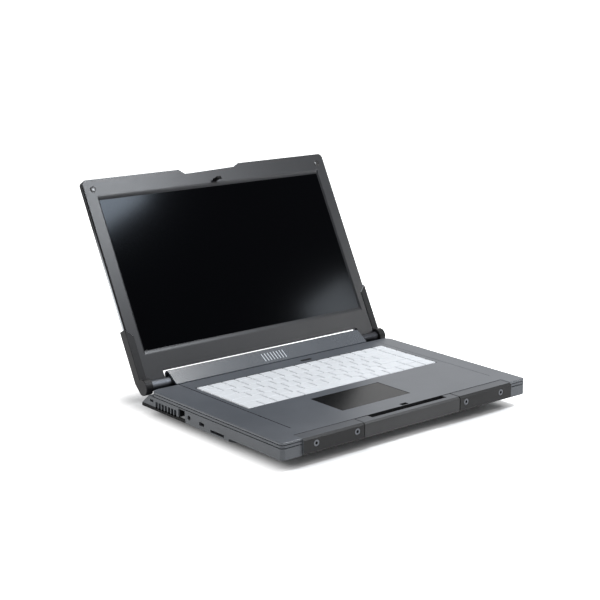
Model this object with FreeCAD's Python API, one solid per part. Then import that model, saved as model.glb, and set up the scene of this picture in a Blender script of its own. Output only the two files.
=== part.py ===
import FreeCAD, Part
import math
import os

V = FreeCAD.Vector

# Base housing, millimetres. X runs across, Y from front to rear, Z up from the table.
CASE_WIDTH = 385.0
DECK_DEPTH = 252.0
DECK_HEIGHT = 36.0
CORNER_RADIUS = 5.0
REAR_CORNER_RADIUS = 9.0
DECK_PLATE = 2.4
BAND_HEIGHT = 4.8
SEAM_GROOVE = 1.0
SEAM_DEPTH = 1.6
SHELL_WALL = 2.2
FRONT_WALL_FOOT = 16.0
REAR_WALL_FOOT = 13.0
UNDERCUT = 24.0
REAR_UNDERCUT = 12.0
FLOOR_THICKNESS = 2.0
FOOT_HEIGHT = 4.0
FOOT_RADIUS = 9.0
FOOT_INSET = 48.0
FRONT_FOOT_Y = 50.0
REAR_FOOT_GAP = 30.0
TAIL = 19.4
TAIL_HEIGHT = 16.7
TAIL_TOP_DROP = 3.0
REAR_BULGE = 26.0
BAND_WIDTH = 8.0
DECK_EDGE_ROUND = 1.2
SLOPE_RISE = 1.0

# Recessed inner field of the deck, with a shadow groove down its left side
FIELD_DEPTH = 0.15
FIELD_LEFT = 39.6
FIELD_RIGHT = 26.3
FIELD_FRONT = 35.5
FIELD_GROOVE = 1.5
FIELD_GROOVE_DEPTH = 1.2

# Battery slab under the front
BATTERY_SEAM = 96.0
BATTERY_FRONT = 34.0
BATTERY_SLOPE = 9.0
BATTERY_INSET = 27.0
SEAM_GAP = 0.5

# Front bumpers and pull-out handle
BUMPER_PROUD = 2.5
BUMPER_BACK = 15.3
BUMPER_BOTTOM = 16.8
BUMPER_TOP_DROP = 0.4
BUMPER_CHAMFER = 2.5
BUMPER_END_INSET = 28.1
BUMPER_SCREW_IN = 11.0
BUMPER_SCREW_OUT = 18.2
BUMPER_SCREW_HEIGHT = 27.4
SCREW_HEAD_RADIUS = 3.7
SCREW_HEAD_DEPTH = 3.0
SCREW_HEAD_SUNK = 0.1
SCREW_SHANK_RADIUS = 2.0
SCREW_SOCKET_RADIUS = 1.8
SCREW_CLEARANCE = 0.25
HANDLE_HALF = 75.5
HANDLE_BAR_BACK = 7.0
HANDLE_GAP_LEFT = 56.0
HANDLE_GAP_RIGHT = 62.0
HANDLE_END_GAP = 0.9
HANDLE_ARM_WIDTH = 11.0
HANDLE_ARM_HEIGHT = 7.6
HANDLE_ARM_LENGTH = 70.0
HANDLE_ARM_FLOOR_GAP = 1.3
HANDLE_ARM_INSET = 1.75
GUIDE_LENGTH = 60.0
GUIDE_WALL = 1.0
MOVING_GAP = 0.3

# Hinge and its cover
HINGE_BACK = 15.5
HINGE_DROP = 0.25
BARREL_RADIUS = 6.5
BARREL_END_INSET = 8.5
BARREL_LENGTH = 60.0
BRACKET_LENGTH = 22.0
BRACKET_FRONT = 6.0
BRACKET_DEPTH = 12.0
BRACKET_TOP_DROP = 12.0
PIN_RADIUS = 3.5
PIN_CLEARANCE = 0.05
PIN_LENGTH = 58.0
COVER_END_INSET = 38.0
COVER_GAP = 0.3
COVER_LIP = 0.8
COVER_RIDGE_BACK = 19.0
COVER_RIDGE_RISE = 13.0
COVER_SHOULDER = 4.5
COVER_SHOULDER_DROP = 1.0
COVER_REAR_DROP = 3.0
COVER_WALL = 2.0
COVER_LIP_SHARE = 0.6
COVER_RIDGE_SHARE = 1.1
COVER_SHOULDER_SHARE = 0.4
COVER_REAR_SHARE = 0.5
WELL_LENGTH = 11.0
WELL_FLOOR = 17.0

# Row of light bars on the cover's slope
LIGHT_BARS = 8
LIGHT_PITCH = 4.8
LIGHT_WIDTH = 1.2
LIGHT_LENGTH = 13.0
LIGHT_FROM_LIP = 4.0
LIGHT_CENTRE_X = 2.9

# Lid, measured from the hinge line along the lid and outward from the bezel
LID_OPEN_ANGLE = 117.8
LID_SIDE_GAP = 0.3
LID_BOTTOM = 16.7
LID_CORNER_RADIUS = 6.0
BEZEL_LIFT = 1.15
BEZEL_PLATE = 1.8
LID_FRAME_DEPTH = 2.8
LID_FRAME_INSET = 0.7
LID_SHELL_DEPTH = 4.8
LID_SKIN = 1.5
LID_EDGE_ROUND = 1.5
EAR_WIDTH = 34.5
EAR_BOTTOM = 6.8
RECESS_TOP_HALF = 47.7
RECESS_FLOOR_HALF = 39.8
RECESS_DEPTH = 6.3
SCREEN_WIDTH = 348.6
SCREEN_HEIGHT = 195.5
SCREEN_FROM_HINGE = 44.5
BEZEL_BEVEL_END = 5.1
BEZEL_BEVEL_SIDE = 2.5
PANEL_BORDER_SIDE = 5.0
PANEL_BORDER_TOP = 4.0
PANEL_BORDER_BOTTOM = 8.5
PANEL_THICKNESS = 3.6
PANEL_CLEARANCE = 0.3
STOP_INSET_SIDE = 12.9
STOP_INSET_TOP = 13.1
STOP_RADIUS = 4.6
STOP_HEIGHT = 0.6
STOP_CHAMFER = 0.3

# Arms that wrap the lid's lower corners and carry the hinge pins
ARM_WIDTH = 10.0
ARM_PROUD_SIDE = 2.0
ARM_PROUD_BACK = 2.5
ARM_PROUD_FRONT = 0.8
ARM_END_RADIUS = 10.0
ARM_LENGTH = 74.5
ARM_TOP_SLANT = 10.0
ARM_TAIL_ANGLE = 50.0
ARM_NECK = 8.0

# Latch
HOOK_X = 0.5
HOOK_STEM_WIDTH = 5.0
HOOK_STEM_DEPTH = 3.5
HOOK_BACK_GAP = 2.2
HOOK_TOE = 4.0
HOOK_TOE_HEIGHT = 3.0
HOOK_TOE_TIP = 1.0
HOOK_REACH = 10.0
HOOK_TRAVEL = 4.0
HOOK_SIDE_CLEARANCE = 0.8
HOOK_SLOT_CLEARANCE = 1.2
CARRIAGE_DEPTH = 9.0
CARRIAGE_HEIGHT = 2.0
CARRIAGE_MARGIN = 8.0
STRIKE_LENGTH = 9.0
STRIKE_THICKNESS = 2.0

# Keys: five full rows and a half-height function row
KEYS_LEFT = 47.6
KEYS_FRONT = 121.5
KEY_UNIT = 18.94
KEY_ROW = 18.5
FUNCTION_ROW = 12.2
KEY_GAP = 0.7
KEY_CAP_HEIGHT = 2.6
KEY_PROUD = 0.3
KEY_TRAVEL = 2.0
KEY_STEM_RADIUS = 2.0
KEY_WELL_CLEARANCE = 0.6
TRAY_DROP = 0.5
TRAY_PLATE = 1.2
TRAY_RIM = 2.0
KEY_ROWS = [
    ("bottom_row_keys", [1.25, 1, 1, 1.25, 5.25, 1, 1, 1.25, 1, 1, 1]),
    ("lower_row_keys", [2.25] + [1] * 10 + [1.75, 1, 1]),
    ("home_row_keys", [1.75] + [1] * 11 + [2.25, 1]),
    ("upper_row_keys", [1.5] + [1] * 12 + [1.5, 1]),
    ("number_row_keys", [1] * 13 + [2, 1]),
    ("function_row_keys", [1] * 16),
]
SINGLE_KEYS = {
    ("bottom_row_keys", 4): "space_bar",
    ("lower_row_keys", 0): "left_shift_key",
    ("home_row_keys", 12): "enter_key",
    ("number_row_keys", 13): "backspace_key",
}

# Touchpad and power button
PAD_LEFT = 126.0
PAD_FRONT = 46.4
PAD_WIDTH = 106.6
PAD_DEPTH = 57.2
PAD_THICKNESS = 1.95
PAD_SUNK = 0.2
PAD_CLEARANCE = 0.4
PAD_BRACKET_MARGIN = 4.0
PAD_BRACKET_DROP = 3.1
PAD_BRACKET_PLATE = 1.0
PAD_LEDGE = 6.0
BUTTON_LEFT = 229.0
BUTTON_Y = 237.0
BUTTON_LENGTH = 17.0
BUTTON_WIDTH = 5.0
BUTTON_PROUD = 0.4
BUTTON_HEIGHT = 4.0
BUTTON_TRAVEL = 0.8
BUTTON_CLEARANCE = 0.3
BUTTON_CUP_WALL = 1.5

# Openings in the left side, as distance from the front and height
VENT_SLOTS = 7
VENT_PITCH = 6.5
VENT_FIRST_Y = 201.1
VENT_HEIGHT = 20.0
VENT_SLOT_WIDTH = 4.6
VENT_SLOT_TALL = 8.4
LOCK_Y = 250.5
LOCK_HEIGHT = 23.7
LOCK_LENGTH = 7.0
LOCK_TALL = 3.0
LOCK_PLATE_LENGTH = 11.0
LOCK_PLATE_TALL = 7.0
LOCK_PLATE_THICKNESS = 2.0
NET_Y = 188.0
NET_HEIGHT = 22.2
NET_WIDTH = 13.0
NET_TALL = 10.6
NET_DEPTH = 19.0
SOCKET_WALL = 0.9
AUDIO_Y = 173.2
AUDIO_HEIGHT = 21.3
AUDIO_RADIUS = 3.0
AUDIO_BORE_RADIUS = 1.8
AUDIO_DEPTH = 14.0
AUDIO_BUSH_SETBACK = 1.0
PORT_Y = 148.0
PORT_HEIGHT = 19.9
PORT_WIDTH = 9.6
PORT_TALL = 4.3
PORT_DEPTH = 9.0
PORT_TONGUE = 0.7
PORT_TONGUE_SETBACK = 1.0
PORT_TONGUE_END = 0.5
CARD_Y = 118.2
CARD_HEIGHT = 16.3
CARD_WIDTH = 26.0
CARD_TALL = 3.2
CARD_DEPTH = 30.0

# Power inlet in the rear wall
INLET_X = -90.0
INLET_HEIGHT = 20.5
INLET_RADIUS = 4.2
INLET_PIN_RADIUS = 1.2
INLET_BODY = 13.0
INLET_DEPTH = 12.0

# Inner pieces
BOARD_HEIGHT = 12.4
BOARD_THICKNESS = 1.6
BOARD_LEFT_GAP = 8.5
BOARD_FRONT = 100.0
BOARD_STEP_Y = 196.0
BOARD_REAR = 248.0
BOARD_STEP_LEFT = 84.5
BOARD_RIGHT_GAP = 132.5
BOSS_RADIUS = 3.5
BOSS_INSET = 6.0
HEAT_LEVEL = 25.0
FINS = 11
FIN_LENGTH = 26.0
FIN_PLATE = 0.8
FIN_STACK_HEIGHT = 10.0
FAN_LEFT_GAP = 30.0
FAN_WIDTH = 52.0
FAN_FRONT = 197.0
FAN_DEPTH = 47.0
FAN_WALL = 1.5
FAN_ROTOR_RADIUS = 21.0
FAN_HUB_RADIUS = 10.0
FAN_BLADES = 13
FAN_BLADE = 1.2
FAN_ROTOR_GAP = 1.5
FAN_OUTLET_SHARE = 0.7
FAN_SHAFT_RADIUS = 2.0
FAN_SHAFT_CLEARANCE = 0.05
CHIP_LEFT_GAP = 112.5
CHIP_SIZE = 32.0
CHIP_THICKNESS = 2.4
HEAT_BLOCK_SIZE = 40.0
PIPE_WIDTH = 8.0
PIPE_HEIGHT = 3.0
PIPE_END_GAP = 1.0
MEMORY_WIDTH = 69.6
MEMORY_DEPTH = 30.0
MEMORY_HEIGHT = 4.0
MEMORY_GAP = 5.0
WIRELESS_WIDTH = 22.0
WIRELESS_DEPTH = 30.0
WIRELESS_HEIGHT = 3.0
CELL_RADIUS = 10.0
CELL_HEIGHT = 3.2
DRIVE_WIDTH = 69.85
DRIVE_DEPTH = 100.0
DRIVE_HEIGHT = 9.5
DRIVE_RIGHT_GAP = 32.0
DRIVE_FRONT = 112.0
CADDY_WALL = 1.5
SPEAKER_WIDTH = 36.0
SPEAKER_DEPTH = 26.0
SPEAKER_HEIGHT = 9.0
SPEAKER_INSET = 16.0
SPEAKER_FRONT = 24.0
BASE_SCREW_RADIUS = 3.0
BASE_SCREW_DEPTH = 1.6

# How far a cutter runs past the face it opens, or a joined piece into its neighbour
OVER = 1.0
TOLERANCE = 1e-6

# Places worked out from the sizes above
HALF = CASE_WIDTH / 2
DECK_UNDER = DECK_HEIGHT - DECK_PLATE
SEAM_Z = DECK_UNDER - BAND_HEIGHT
FIELD_Z = DECK_HEIGHT - FIELD_DEPTH
INNER_HALF = HALF - SHELL_WALL
SHELL_BOTTOM = FOOT_HEIGHT
FLOOR_TOP = SHELL_BOTTOM + FLOOR_THICKNESS
FRONT_FLOOR_TOP = FRONT_WALL_FOOT + FLOOR_THICKNESS
FRONT_WALL_INNER = BUMPER_BACK + SHELL_WALL
TAIL_Y = DECK_DEPTH + TAIL
REAR_Y = DECK_DEPTH + REAR_BULGE
HINGE_Y = DECK_DEPTH + HINGE_BACK
HINGE_Z = DECK_HEIGHT - HINGE_DROP
COVER_HALF = HALF - COVER_END_INSET
COVER_FRONT = DECK_DEPTH + COVER_GAP
BUMPER_TOP = DECK_HEIGHT - BUMPER_TOP_DROP
BUMPER_END = HALF - BUMPER_END_INSET
BEZEL_Z = HINGE_Z + BEZEL_LIFT
LID_FRAME_Z = BEZEL_Z + BEZEL_PLATE
LID_SHELL_Z = LID_FRAME_Z + LID_FRAME_DEPTH
LID_BACK_Z = LID_SHELL_Z + LID_SHELL_DEPTH
LID_HALF = HALF - LID_SIDE_GAP
LID_BOTTOM_Y = HINGE_Y - LID_BOTTOM
SCREEN_LOW_Y = HINGE_Y - SCREEN_FROM_HINGE
SCREEN_HIGH_Y = SCREEN_LOW_Y - SCREEN_HEIGHT
PANEL_LOW_Y = SCREEN_LOW_Y + PANEL_BORDER_BOTTOM
PANEL_HIGH_Y = SCREEN_HIGH_Y - PANEL_BORDER_TOP
PANEL_HALF = SCREEN_WIDTH / 2 + PANEL_BORDER_SIDE
ARM_INNER = HALF + ARM_PROUD_SIDE - ARM_WIDTH
HOOK_REAR = PANEL_HIGH_Y - HOOK_BACK_GAP
HOOK_FRONT = HOOK_REAR - HOOK_STEM_DEPTH
HOOK_ROOM_FRONT = HOOK_FRONT - HOOK_SLOT_CLEARANCE
KEYS_X = KEYS_LEFT - HALF
KEYS_WIDTH = KEY_UNIT * sum(KEY_ROWS[0][1])
KEYS_DEPTH = 5 * KEY_ROW + FUNCTION_ROW
KEY_TOP = DECK_HEIGHT + KEY_PROUD
KEY_BASE = KEY_TOP - KEY_CAP_HEIGHT
TRAY_TOP = KEY_BASE - KEY_TRAVEL - TRAY_DROP
PAD_X = PAD_LEFT - HALF
PAD_TOP = FIELD_Z - PAD_SUNK
PAD_BASE = PAD_TOP - PAD_THICKNESS
BUTTON_X = BUTTON_LEFT - HALF
BOARD_TOP = BOARD_HEIGHT + BOARD_THICKNESS
BOARD_LEFT = BOARD_LEFT_GAP - HALF
BOARD_STEP_X = BOARD_STEP_LEFT - HALF
BOARD_RIGHT = HALF - BOARD_RIGHT_GAP
FAN_X = FAN_LEFT_GAP - HALF
VENT_SPAN = VENT_PITCH * (VENT_SLOTS - 1)
VENT_MID_Y = VENT_FIRST_Y + VENT_SPAN / 2
HANDLE_ARM_Z = FRONT_FLOOR_TOP + HANDLE_ARM_FLOOR_GAP
HANDLE_ARM_X = HANDLE_HALF - HANDLE_ARM_INSET - HANDLE_ARM_WIDTH / 2
LID_ANGLE = math.radians(LID_OPEN_ANGLE)
LID_REACH = (HINGE_Y - LID_EDGE_ROUND) * -math.cos(LID_ANGLE)
LID_LEAN = (LID_BACK_Z - LID_EDGE_ROUND - HINGE_Z) * math.sin(LID_ANGLE)
OPEN_REAR = HINGE_Y + LID_REACH + LID_LEAN + LID_EDGE_ROUND
ORIGIN_Y = (OPEN_REAR - BUMPER_PROUD) / 2


def block(x0, x1, y0, y1, z0, z1):
    """Box between two corners."""
    return Part.makeBox(x1 - x0, y1 - y0, z1 - z0, V(x0, y0, z0))


def side_prism(profile, x0, x1):
    """Outline of (y, z) points carried across from x0 to x1."""
    points = [V(x0, y, z) for y, z in profile]
    face = Part.Face(Part.makePolygon(points + points[:1]))
    return face.extrude(V(x1 - x0, 0, 0))


def front_prism(profile, y0, y1):
    """Outline of (x, z) points carried back from y0 to y1."""
    points = [V(x, y0, z) for x, z in profile]
    face = Part.Face(Part.makePolygon(points + points[:1]))
    return face.extrude(V(0, y1 - y0, 0))


def plan_prism(profile, z0, z1):
    """Outline of (x, y) points carried up from z0 to z1."""
    points = [V(x, y, z0) for x, y in profile]
    face = Part.Face(Part.makePolygon(points + points[:1]))
    return face.extrude(V(0, 0, z1 - z0))


def rod(radius, x, y, z, length, direction):
    """Round bar from a point along a direction."""
    return Part.makeCylinder(radius, length, V(x, y, z), direction)


def upright_edges(shape, x_limit, y_test):
    """Vertical edges at least x_limit from the middle whose y passes the test."""
    chosen = []
    for edge in shape.Edges:
        low, high = edge.Vertexes[0].Point, edge.Vertexes[-1].Point
        upright = abs(low.x - high.x) + abs(low.y - high.y) < TOLERANCE
        if upright and abs(low.x) > x_limit and y_test(low.y):
            chosen.append(edge)
    return chosen


def level_edges(shape, height):
    """Edges that lie wholly at one height."""
    return [e for e in shape.Edges if all(abs(v.Point.z - height) < TOLERANCE for v in e.Vertexes)]


def joined(pieces):
    """One solid from overlapping pieces."""
    whole = pieces[0].multiFuse(pieces[1:])
    return whole.removeSplitter()


def cleared(shape, cutters):
    """A shape with all the cutters taken away."""
    return shape.cut(Part.makeCompound(cutters))


def both_sides(make):
    """The same shape made on the left and on the right."""
    return [make(-1), make(1)]


def span(side, a, b):
    """Ordered x limits of a distance range on one side."""
    return (side * b, side * a) if side < 0 else (side * a, side * b)


def save(name, shape):
    """Write one piece with the origin under the middle of the opened object."""
    placed = shape.copy()
    placed.translate(V(0, -ORIGIN_Y, 0))
    placed.exportStep("parts/" + name + ".step")


def opened(shape):
    """A lid piece drawn closed, turned about the hinge to the open rest position."""
    turned = shape.copy()
    turned.rotate(V(0, HINGE_Y, HINGE_Z), V(1, 0, 0), -LID_OPEN_ANGLE)
    return turned


def front_bay(z0, z1):
    """Room across the front for the bumpers and the handle."""
    reach = BUMPER_END + MOVING_GAP
    return block(-reach, reach, -BUMPER_PROUD, BUMPER_BACK, z0, z1)


def tail_cut(side):
    """Air behind the slanted rear corner, where the lid arm swings."""
    top = DECK_HEIGHT
    profile = [
        (DECK_DEPTH, top),
        (DECK_DEPTH, DECK_HEIGHT - TAIL_TOP_DROP),
        (TAIL_Y, TAIL_HEIGHT),
        (TAIL_Y, 0),
        (REAR_Y + TAIL, 0),
        (REAR_Y + TAIL, top),
    ]
    return side_prism(profile, *span(side, COVER_HALF, HALF + TAIL))


def hinge_well(side):
    """Deep slot behind the deck under a bare stretch of the barrel."""
    limits = span(side, COVER_HALF, HALF - BARREL_END_INSET)
    return block(*limits, DECK_DEPTH, DECK_DEPTH + WELL_LENGTH, WELL_FLOOR, DECK_HEIGHT)


def side_hole(y, z, width, tall, depth):
    """Rectangular opening through the left wall."""
    return block(-HALF - OVER, -HALF + depth, y - width / 2, y + width / 2, z - tall / 2, z + tall / 2)


def side_round(y, z, radius, depth):
    """Round opening through the left wall."""
    return rod(radius, -HALF - OVER, y, z, depth + OVER, V(1, 0, 0))


def vent_centres():
    """Distance from the front of each vent slot."""
    return [VENT_FIRST_Y + i * VENT_PITCH for i in range(VENT_SLOTS)]


def boss_places():
    """Standoffs that carry the main board."""
    return [
        (BOARD_STEP_X + BOSS_INSET, BOARD_FRONT + BOSS_INSET),
        (BOARD_RIGHT - BOSS_INSET, BOARD_FRONT + BOSS_INSET),
        (BOARD_STEP_X + BOSS_INSET, BOARD_REAR - BOSS_INSET),
        (BOARD_RIGHT - BOSS_INSET, BOARD_REAR - BOSS_INSET),
    ]


def bracket_span(side):
    """Stretch of the barrel that sits on its bracket."""
    inner = HALF - BARREL_END_INSET - BARREL_LENGTH
    return span(side, inner, inner + BRACKET_LENGTH)


def lower_shell():
    """Tray of the base, with the side openings and an undercut all round."""
    rear_profile = [
        (-HALF, SEAM_Z),
        (-HALF, REAR_WALL_FOOT),
        (-HALF + UNDERCUT, SHELL_BOTTOM),
        (HALF - UNDERCUT, SHELL_BOTTOM),
        (HALF, REAR_WALL_FOOT),
        (HALF, SEAM_Z),
    ]
    rear = front_prism(rear_profile, BATTERY_SEAM, REAR_Y)
    front = block(-HALF, HALF, 0, BATTERY_SEAM, FRONT_WALL_FOOT, SEAM_Z)
    rounded = upright_edges(front, HALF - CORNER_RADIUS, lambda y: y < CORNER_RADIUS)
    front = front.makeFillet(CORNER_RADIUS, rounded)
    outer = joined([front, rear])
    inner_profile = [
        (-INNER_HALF, SEAM_Z + OVER),
        (-INNER_HALF, REAR_WALL_FOOT + SLOPE_RISE),
        (-INNER_HALF + UNDERCUT, FLOOR_TOP),
        (INNER_HALF - UNDERCUT, FLOOR_TOP),
        (INNER_HALF, REAR_WALL_FOOT + SLOPE_RISE),
        (INNER_HALF, SEAM_Z + OVER),
    ]
    rear_start = BATTERY_SEAM + SHELL_WALL
    side_end = DECK_DEPTH - BAND_WIDTH
    middle = COVER_HALF - COVER_WALL
    rear_undercut = [
        (REAR_Y + OVER, REAR_WALL_FOOT),
        (REAR_Y, REAR_WALL_FOOT),
        (REAR_Y - REAR_UNDERCUT, SHELL_BOTTOM),
        (REAR_Y - REAR_UNDERCUT, SHELL_BOTTOM - OVER),
        (REAR_Y + OVER, SHELL_BOTTOM - OVER),
    ]
    cutters = both_sides(tail_cut) + both_sides(hinge_well)
    cutters.append(front_bay(0, DECK_HEIGHT))
    cutters.append(side_prism(rear_undercut, -HALF, HALF))
    cutters.append(front_prism(inner_profile, rear_start, side_end))
    deep = REAR_Y - REAR_UNDERCUT - SHELL_WALL
    cutters.append(block(-middle, middle, side_end - OVER, deep, FLOOR_TOP, SEAM_Z + OVER))
    rear_floor = REAR_WALL_FOOT + SLOPE_RISE
    cutters.append(block(-middle, middle, deep - OVER, REAR_Y - SHELL_WALL, rear_floor, SEAM_Z + OVER))
    cutters.append(block(-INNER_HALF, INNER_HALF, FRONT_WALL_INNER, rear_start + OVER,
                         FRONT_FLOOR_TOP, SEAM_Z + OVER))
    for y in vent_centres():
        cutters.append(side_hole(y, VENT_HEIGHT, VENT_SLOT_WIDTH, VENT_SLOT_TALL, SHELL_WALL + OVER))
    lock_depth = SHELL_WALL + LOCK_PLATE_THICKNESS
    cutters.append(side_hole(LOCK_Y, LOCK_HEIGHT, LOCK_LENGTH, LOCK_TALL, lock_depth + UNDERCUT / 2))
    cutters.append(lock_pocket())
    cutters.append(side_hole(NET_Y, NET_HEIGHT, NET_WIDTH, NET_TALL, SHELL_WALL + OVER))
    cutters.append(side_round(AUDIO_Y, AUDIO_HEIGHT, AUDIO_RADIUS, SHELL_WALL + OVER))
    cutters.append(side_hole(PORT_Y, PORT_HEIGHT, PORT_WIDTH, PORT_TALL, SHELL_WALL + OVER))
    cutters.append(side_hole(CARD_Y, CARD_HEIGHT, CARD_WIDTH, CARD_TALL, SHELL_WALL + OVER))
    inlet_depth = SHELL_WALL + 2 * OVER
    cutters.append(rod(INLET_RADIUS, INLET_X, REAR_Y + OVER, INLET_HEIGHT, inlet_depth, V(0, -1, 0)))
    for side in (-1, 1):
        x0, x1 = span(side, HANDLE_ARM_X - HANDLE_ARM_WIDTH / 2, HANDLE_ARM_X + HANDLE_ARM_WIDTH / 2)
        top = HANDLE_ARM_Z + HANDLE_ARM_HEIGHT + MOVING_GAP
        low = HANDLE_ARM_Z - MOVING_GAP
        cutters.append(block(x0 - MOVING_GAP, x1 + MOVING_GAP, 0, FRONT_WALL_INNER + OVER, low, top))
    for x, y in intake_places():
        cutters.append(block(x - VENT_SLOT_WIDTH / 2, x + VENT_SLOT_WIDTH / 2, y, y + FAN_HUB_RADIUS * 2,
                             SHELL_BOTTOM - OVER, FLOOR_TOP + OVER))
    shell = cleared(outer, cutters)
    posts = []
    post_foot = SHELL_BOTTOM + OVER
    for x, y in boss_places():
        posts.append(rod(BOSS_RADIUS, x, y, post_foot, BOARD_HEIGHT - post_foot, V(0, 0, 1)))
    for side in (-1, 1):
        x0, x1 = bracket_span(side)
        y0 = HINGE_Y - BRACKET_FRONT
        y1 = y0 + BRACKET_DEPTH
        posts.append(block(x0, x1, y0, y1, post_foot, HINGE_Z - BRACKET_TOP_DROP))
    shell = joined([shell] + posts)
    rear_clear = side_prism(rear_undercut, -HALF, HALF)
    return cleared(shell, [rear_clear] + [screw_bore(x, y) for x, y in boss_places()])


def screw_bore(x, y):
    """Counterbore for a base screw under a standoff."""
    return rod(BASE_SCREW_RADIUS, x, y, SHELL_BOTTOM - OVER, BASE_SCREW_DEPTH + OVER, V(0, 0, 1))


def base_screws():
    """Flat socket screws that hold the tray, seen from below."""
    solids = []
    for x, y in boss_places():
        head = rod(BASE_SCREW_RADIUS, x, y, SHELL_BOTTOM, BASE_SCREW_DEPTH, V(0, 0, 1))
        socket = rod(BASE_SCREW_RADIUS / 2, x, y, SHELL_BOTTOM - OVER, BASE_SCREW_DEPTH, V(0, 0, 1))
        solids.append(head.cut(socket))
    return Part.makeCompound(solids)


def intake_places():
    """Front ends of the fan's intake slots in the floor."""
    centre = FAN_X + FAN_WIDTH / 2
    front = FAN_FRONT + FAN_DEPTH / 2 - FAN_HUB_RADIUS
    return [(centre + i * 2 * VENT_SLOT_WIDTH, front) for i in range(-2, 3)]


def lock_pocket():
    """Seat of the lock plate behind the left wall."""
    y0 = LOCK_Y - LOCK_PLATE_LENGTH / 2
    z0 = LOCK_HEIGHT - LOCK_PLATE_TALL / 2
    x0 = -INNER_HALF
    return block(x0, x0 + LOCK_PLATE_THICKNESS, y0, y0 + LOCK_PLATE_LENGTH, z0, z0 + LOCK_PLATE_TALL)


def lock_plate():
    """Steel plate behind the lock slot."""
    hole = side_hole(LOCK_Y, LOCK_HEIGHT, LOCK_LENGTH, LOCK_TALL, UNDERCUT)
    return lock_pocket().cut(hole)


def rounded_plan(shape):
    """A plate with rounded upright corners, larger ones at the rear."""
    middle = DECK_DEPTH / 2
    shape = shape.makeFillet(CORNER_RADIUS, upright_edges(shape, HALF / 2, lambda y: y < middle))
    rear = upright_edges(shape, HALF - 2 * CORNER_RADIUS, lambda y: y > middle)
    return shape.makeFillet(REAR_CORNER_RADIUS, rear)


def mid_frame():
    """Band between the tray and the deck, with a shadow groove at both seams."""
    outer = block(-HALF, HALF, 0, DECK_DEPTH, SEAM_Z, DECK_UNDER)
    outer = rounded_plan(outer)
    rim = HALF - SEAM_DEPTH
    core = block(-rim, rim, SEAM_DEPTH, DECK_DEPTH - SEAM_DEPTH, SEAM_Z, DECK_UNDER)
    waist = block(-HALF, HALF, 0, DECK_DEPTH, SEAM_Z + SEAM_GROOVE, DECK_UNDER - SEAM_GROOVE)
    outer = joined([rounded_plan(core), outer.common(waist)])
    reach = HALF - BAND_WIDTH
    inside = block(-reach, reach, BUMPER_BACK + BAND_WIDTH, DECK_DEPTH - BAND_WIDTH, 0, DECK_HEIGHT)
    hook_end = HOOK_X + HOOK_STEM_WIDTH + HOOK_TOE + HOOK_TRAVEL + STRIKE_LENGTH
    hook_back = BUMPER_BACK + 2 * BAND_WIDTH
    hook_room = block(HOOK_X - 2 * HOOK_TOE, hook_end, HOOK_ROOM_FRONT, hook_back, 0, DECK_HEIGHT)
    return cleared(outer, [inside, front_bay(0, DECK_HEIGHT), hook_room])


def top_deck():
    """Deck plate with the key well, touchpad opening, latch slot and button hole."""
    plate = block(-HALF, HALF, 0, DECK_DEPTH, DECK_UNDER, DECK_HEIGHT)
    plate = rounded_plan(plate)
    plate = plate.makeFillet(DECK_EDGE_ROUND, level_edges(plate, DECK_HEIGHT))
    field_left = FIELD_LEFT - HALF
    field_right = HALF - FIELD_RIGHT
    field_back = DECK_DEPTH + OVER
    groove_z = DECK_HEIGHT - FIELD_GROOVE_DEPTH
    low = DECK_UNDER - OVER
    top = DECK_HEIGHT + OVER
    cutters = [front_bay(0, top)]
    cutters.append(block(field_left, field_right, FIELD_FRONT, field_back, FIELD_Z, top))
    groove_end = field_left + FIELD_GROOVE
    cutters.append(block(field_left, groove_end, FIELD_FRONT, field_back, groove_z, top))
    cutters.append(key_well(KEY_WELL_CLEARANCE, low, top))
    cutters.append(pad_block(PAD_CLEARANCE, low, top))
    cutters.append(latch_slot())
    cutters.append(button_slab(BUTTON_CLEARANCE, low, top))
    return cleared(plate, cutters)


def key_well(margin, z0, z1):
    """Rectangle of the keys, widened by a margin."""
    x1 = KEYS_X + KEYS_WIDTH
    y1 = KEYS_FRONT + KEYS_DEPTH
    return block(KEYS_X - margin, x1 + margin, KEYS_FRONT - margin, y1 + margin, z0, z1)


def pad_block(margin, z0, z1):
    """Rectangle of the touchpad, widened by a margin."""
    y1 = PAD_FRONT + PAD_DEPTH
    return block(PAD_X - margin, PAD_X + PAD_WIDTH + margin, PAD_FRONT - margin, y1 + margin, z0, z1)


def button_slab(margin, z0, z1):
    """Stadium of the power button, widened by a margin."""
    half = (BUTTON_LENGTH - BUTTON_WIDTH) / 2
    radius = BUTTON_WIDTH / 2 + margin
    ends = [rod(radius, BUTTON_X + s * half, BUTTON_Y, z0, z1 - z0, V(0, 0, 1)) for s in (-1, 1)]
    bar = block(BUTTON_X - half, BUTTON_X + half, BUTTON_Y - radius, BUTTON_Y + radius, z0, z1)
    return joined([bar] + ends)


def latch_slot():
    """Slot in the deck that the closed lid's hook drops into."""
    x0 = HOOK_X - HOOK_SIDE_CLEARANCE
    x1 = HOOK_X + HOOK_STEM_WIDTH + HOOK_TOE + HOOK_SIDE_CLEARANCE
    y1 = HOOK_REAR + HOOK_SLOT_CLEARANCE
    return block(x0, x1, HOOK_ROOM_FRONT, y1, DECK_UNDER - OVER, DECK_HEIGHT + OVER)


def latch_strike():
    """Steel plate under the deck that the hook's toe slides beneath."""
    x0 = HOOK_X + HOOK_STEM_WIDTH + HOOK_TOE + HOOK_SIDE_CLEARANCE
    y1 = HOOK_REAR + HOOK_SLOT_CLEARANCE
    return block(x0, x0 + STRIKE_LENGTH, HOOK_ROOM_FRONT, y1, DECK_UNDER - STRIKE_THICKNESS, DECK_UNDER)


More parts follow.
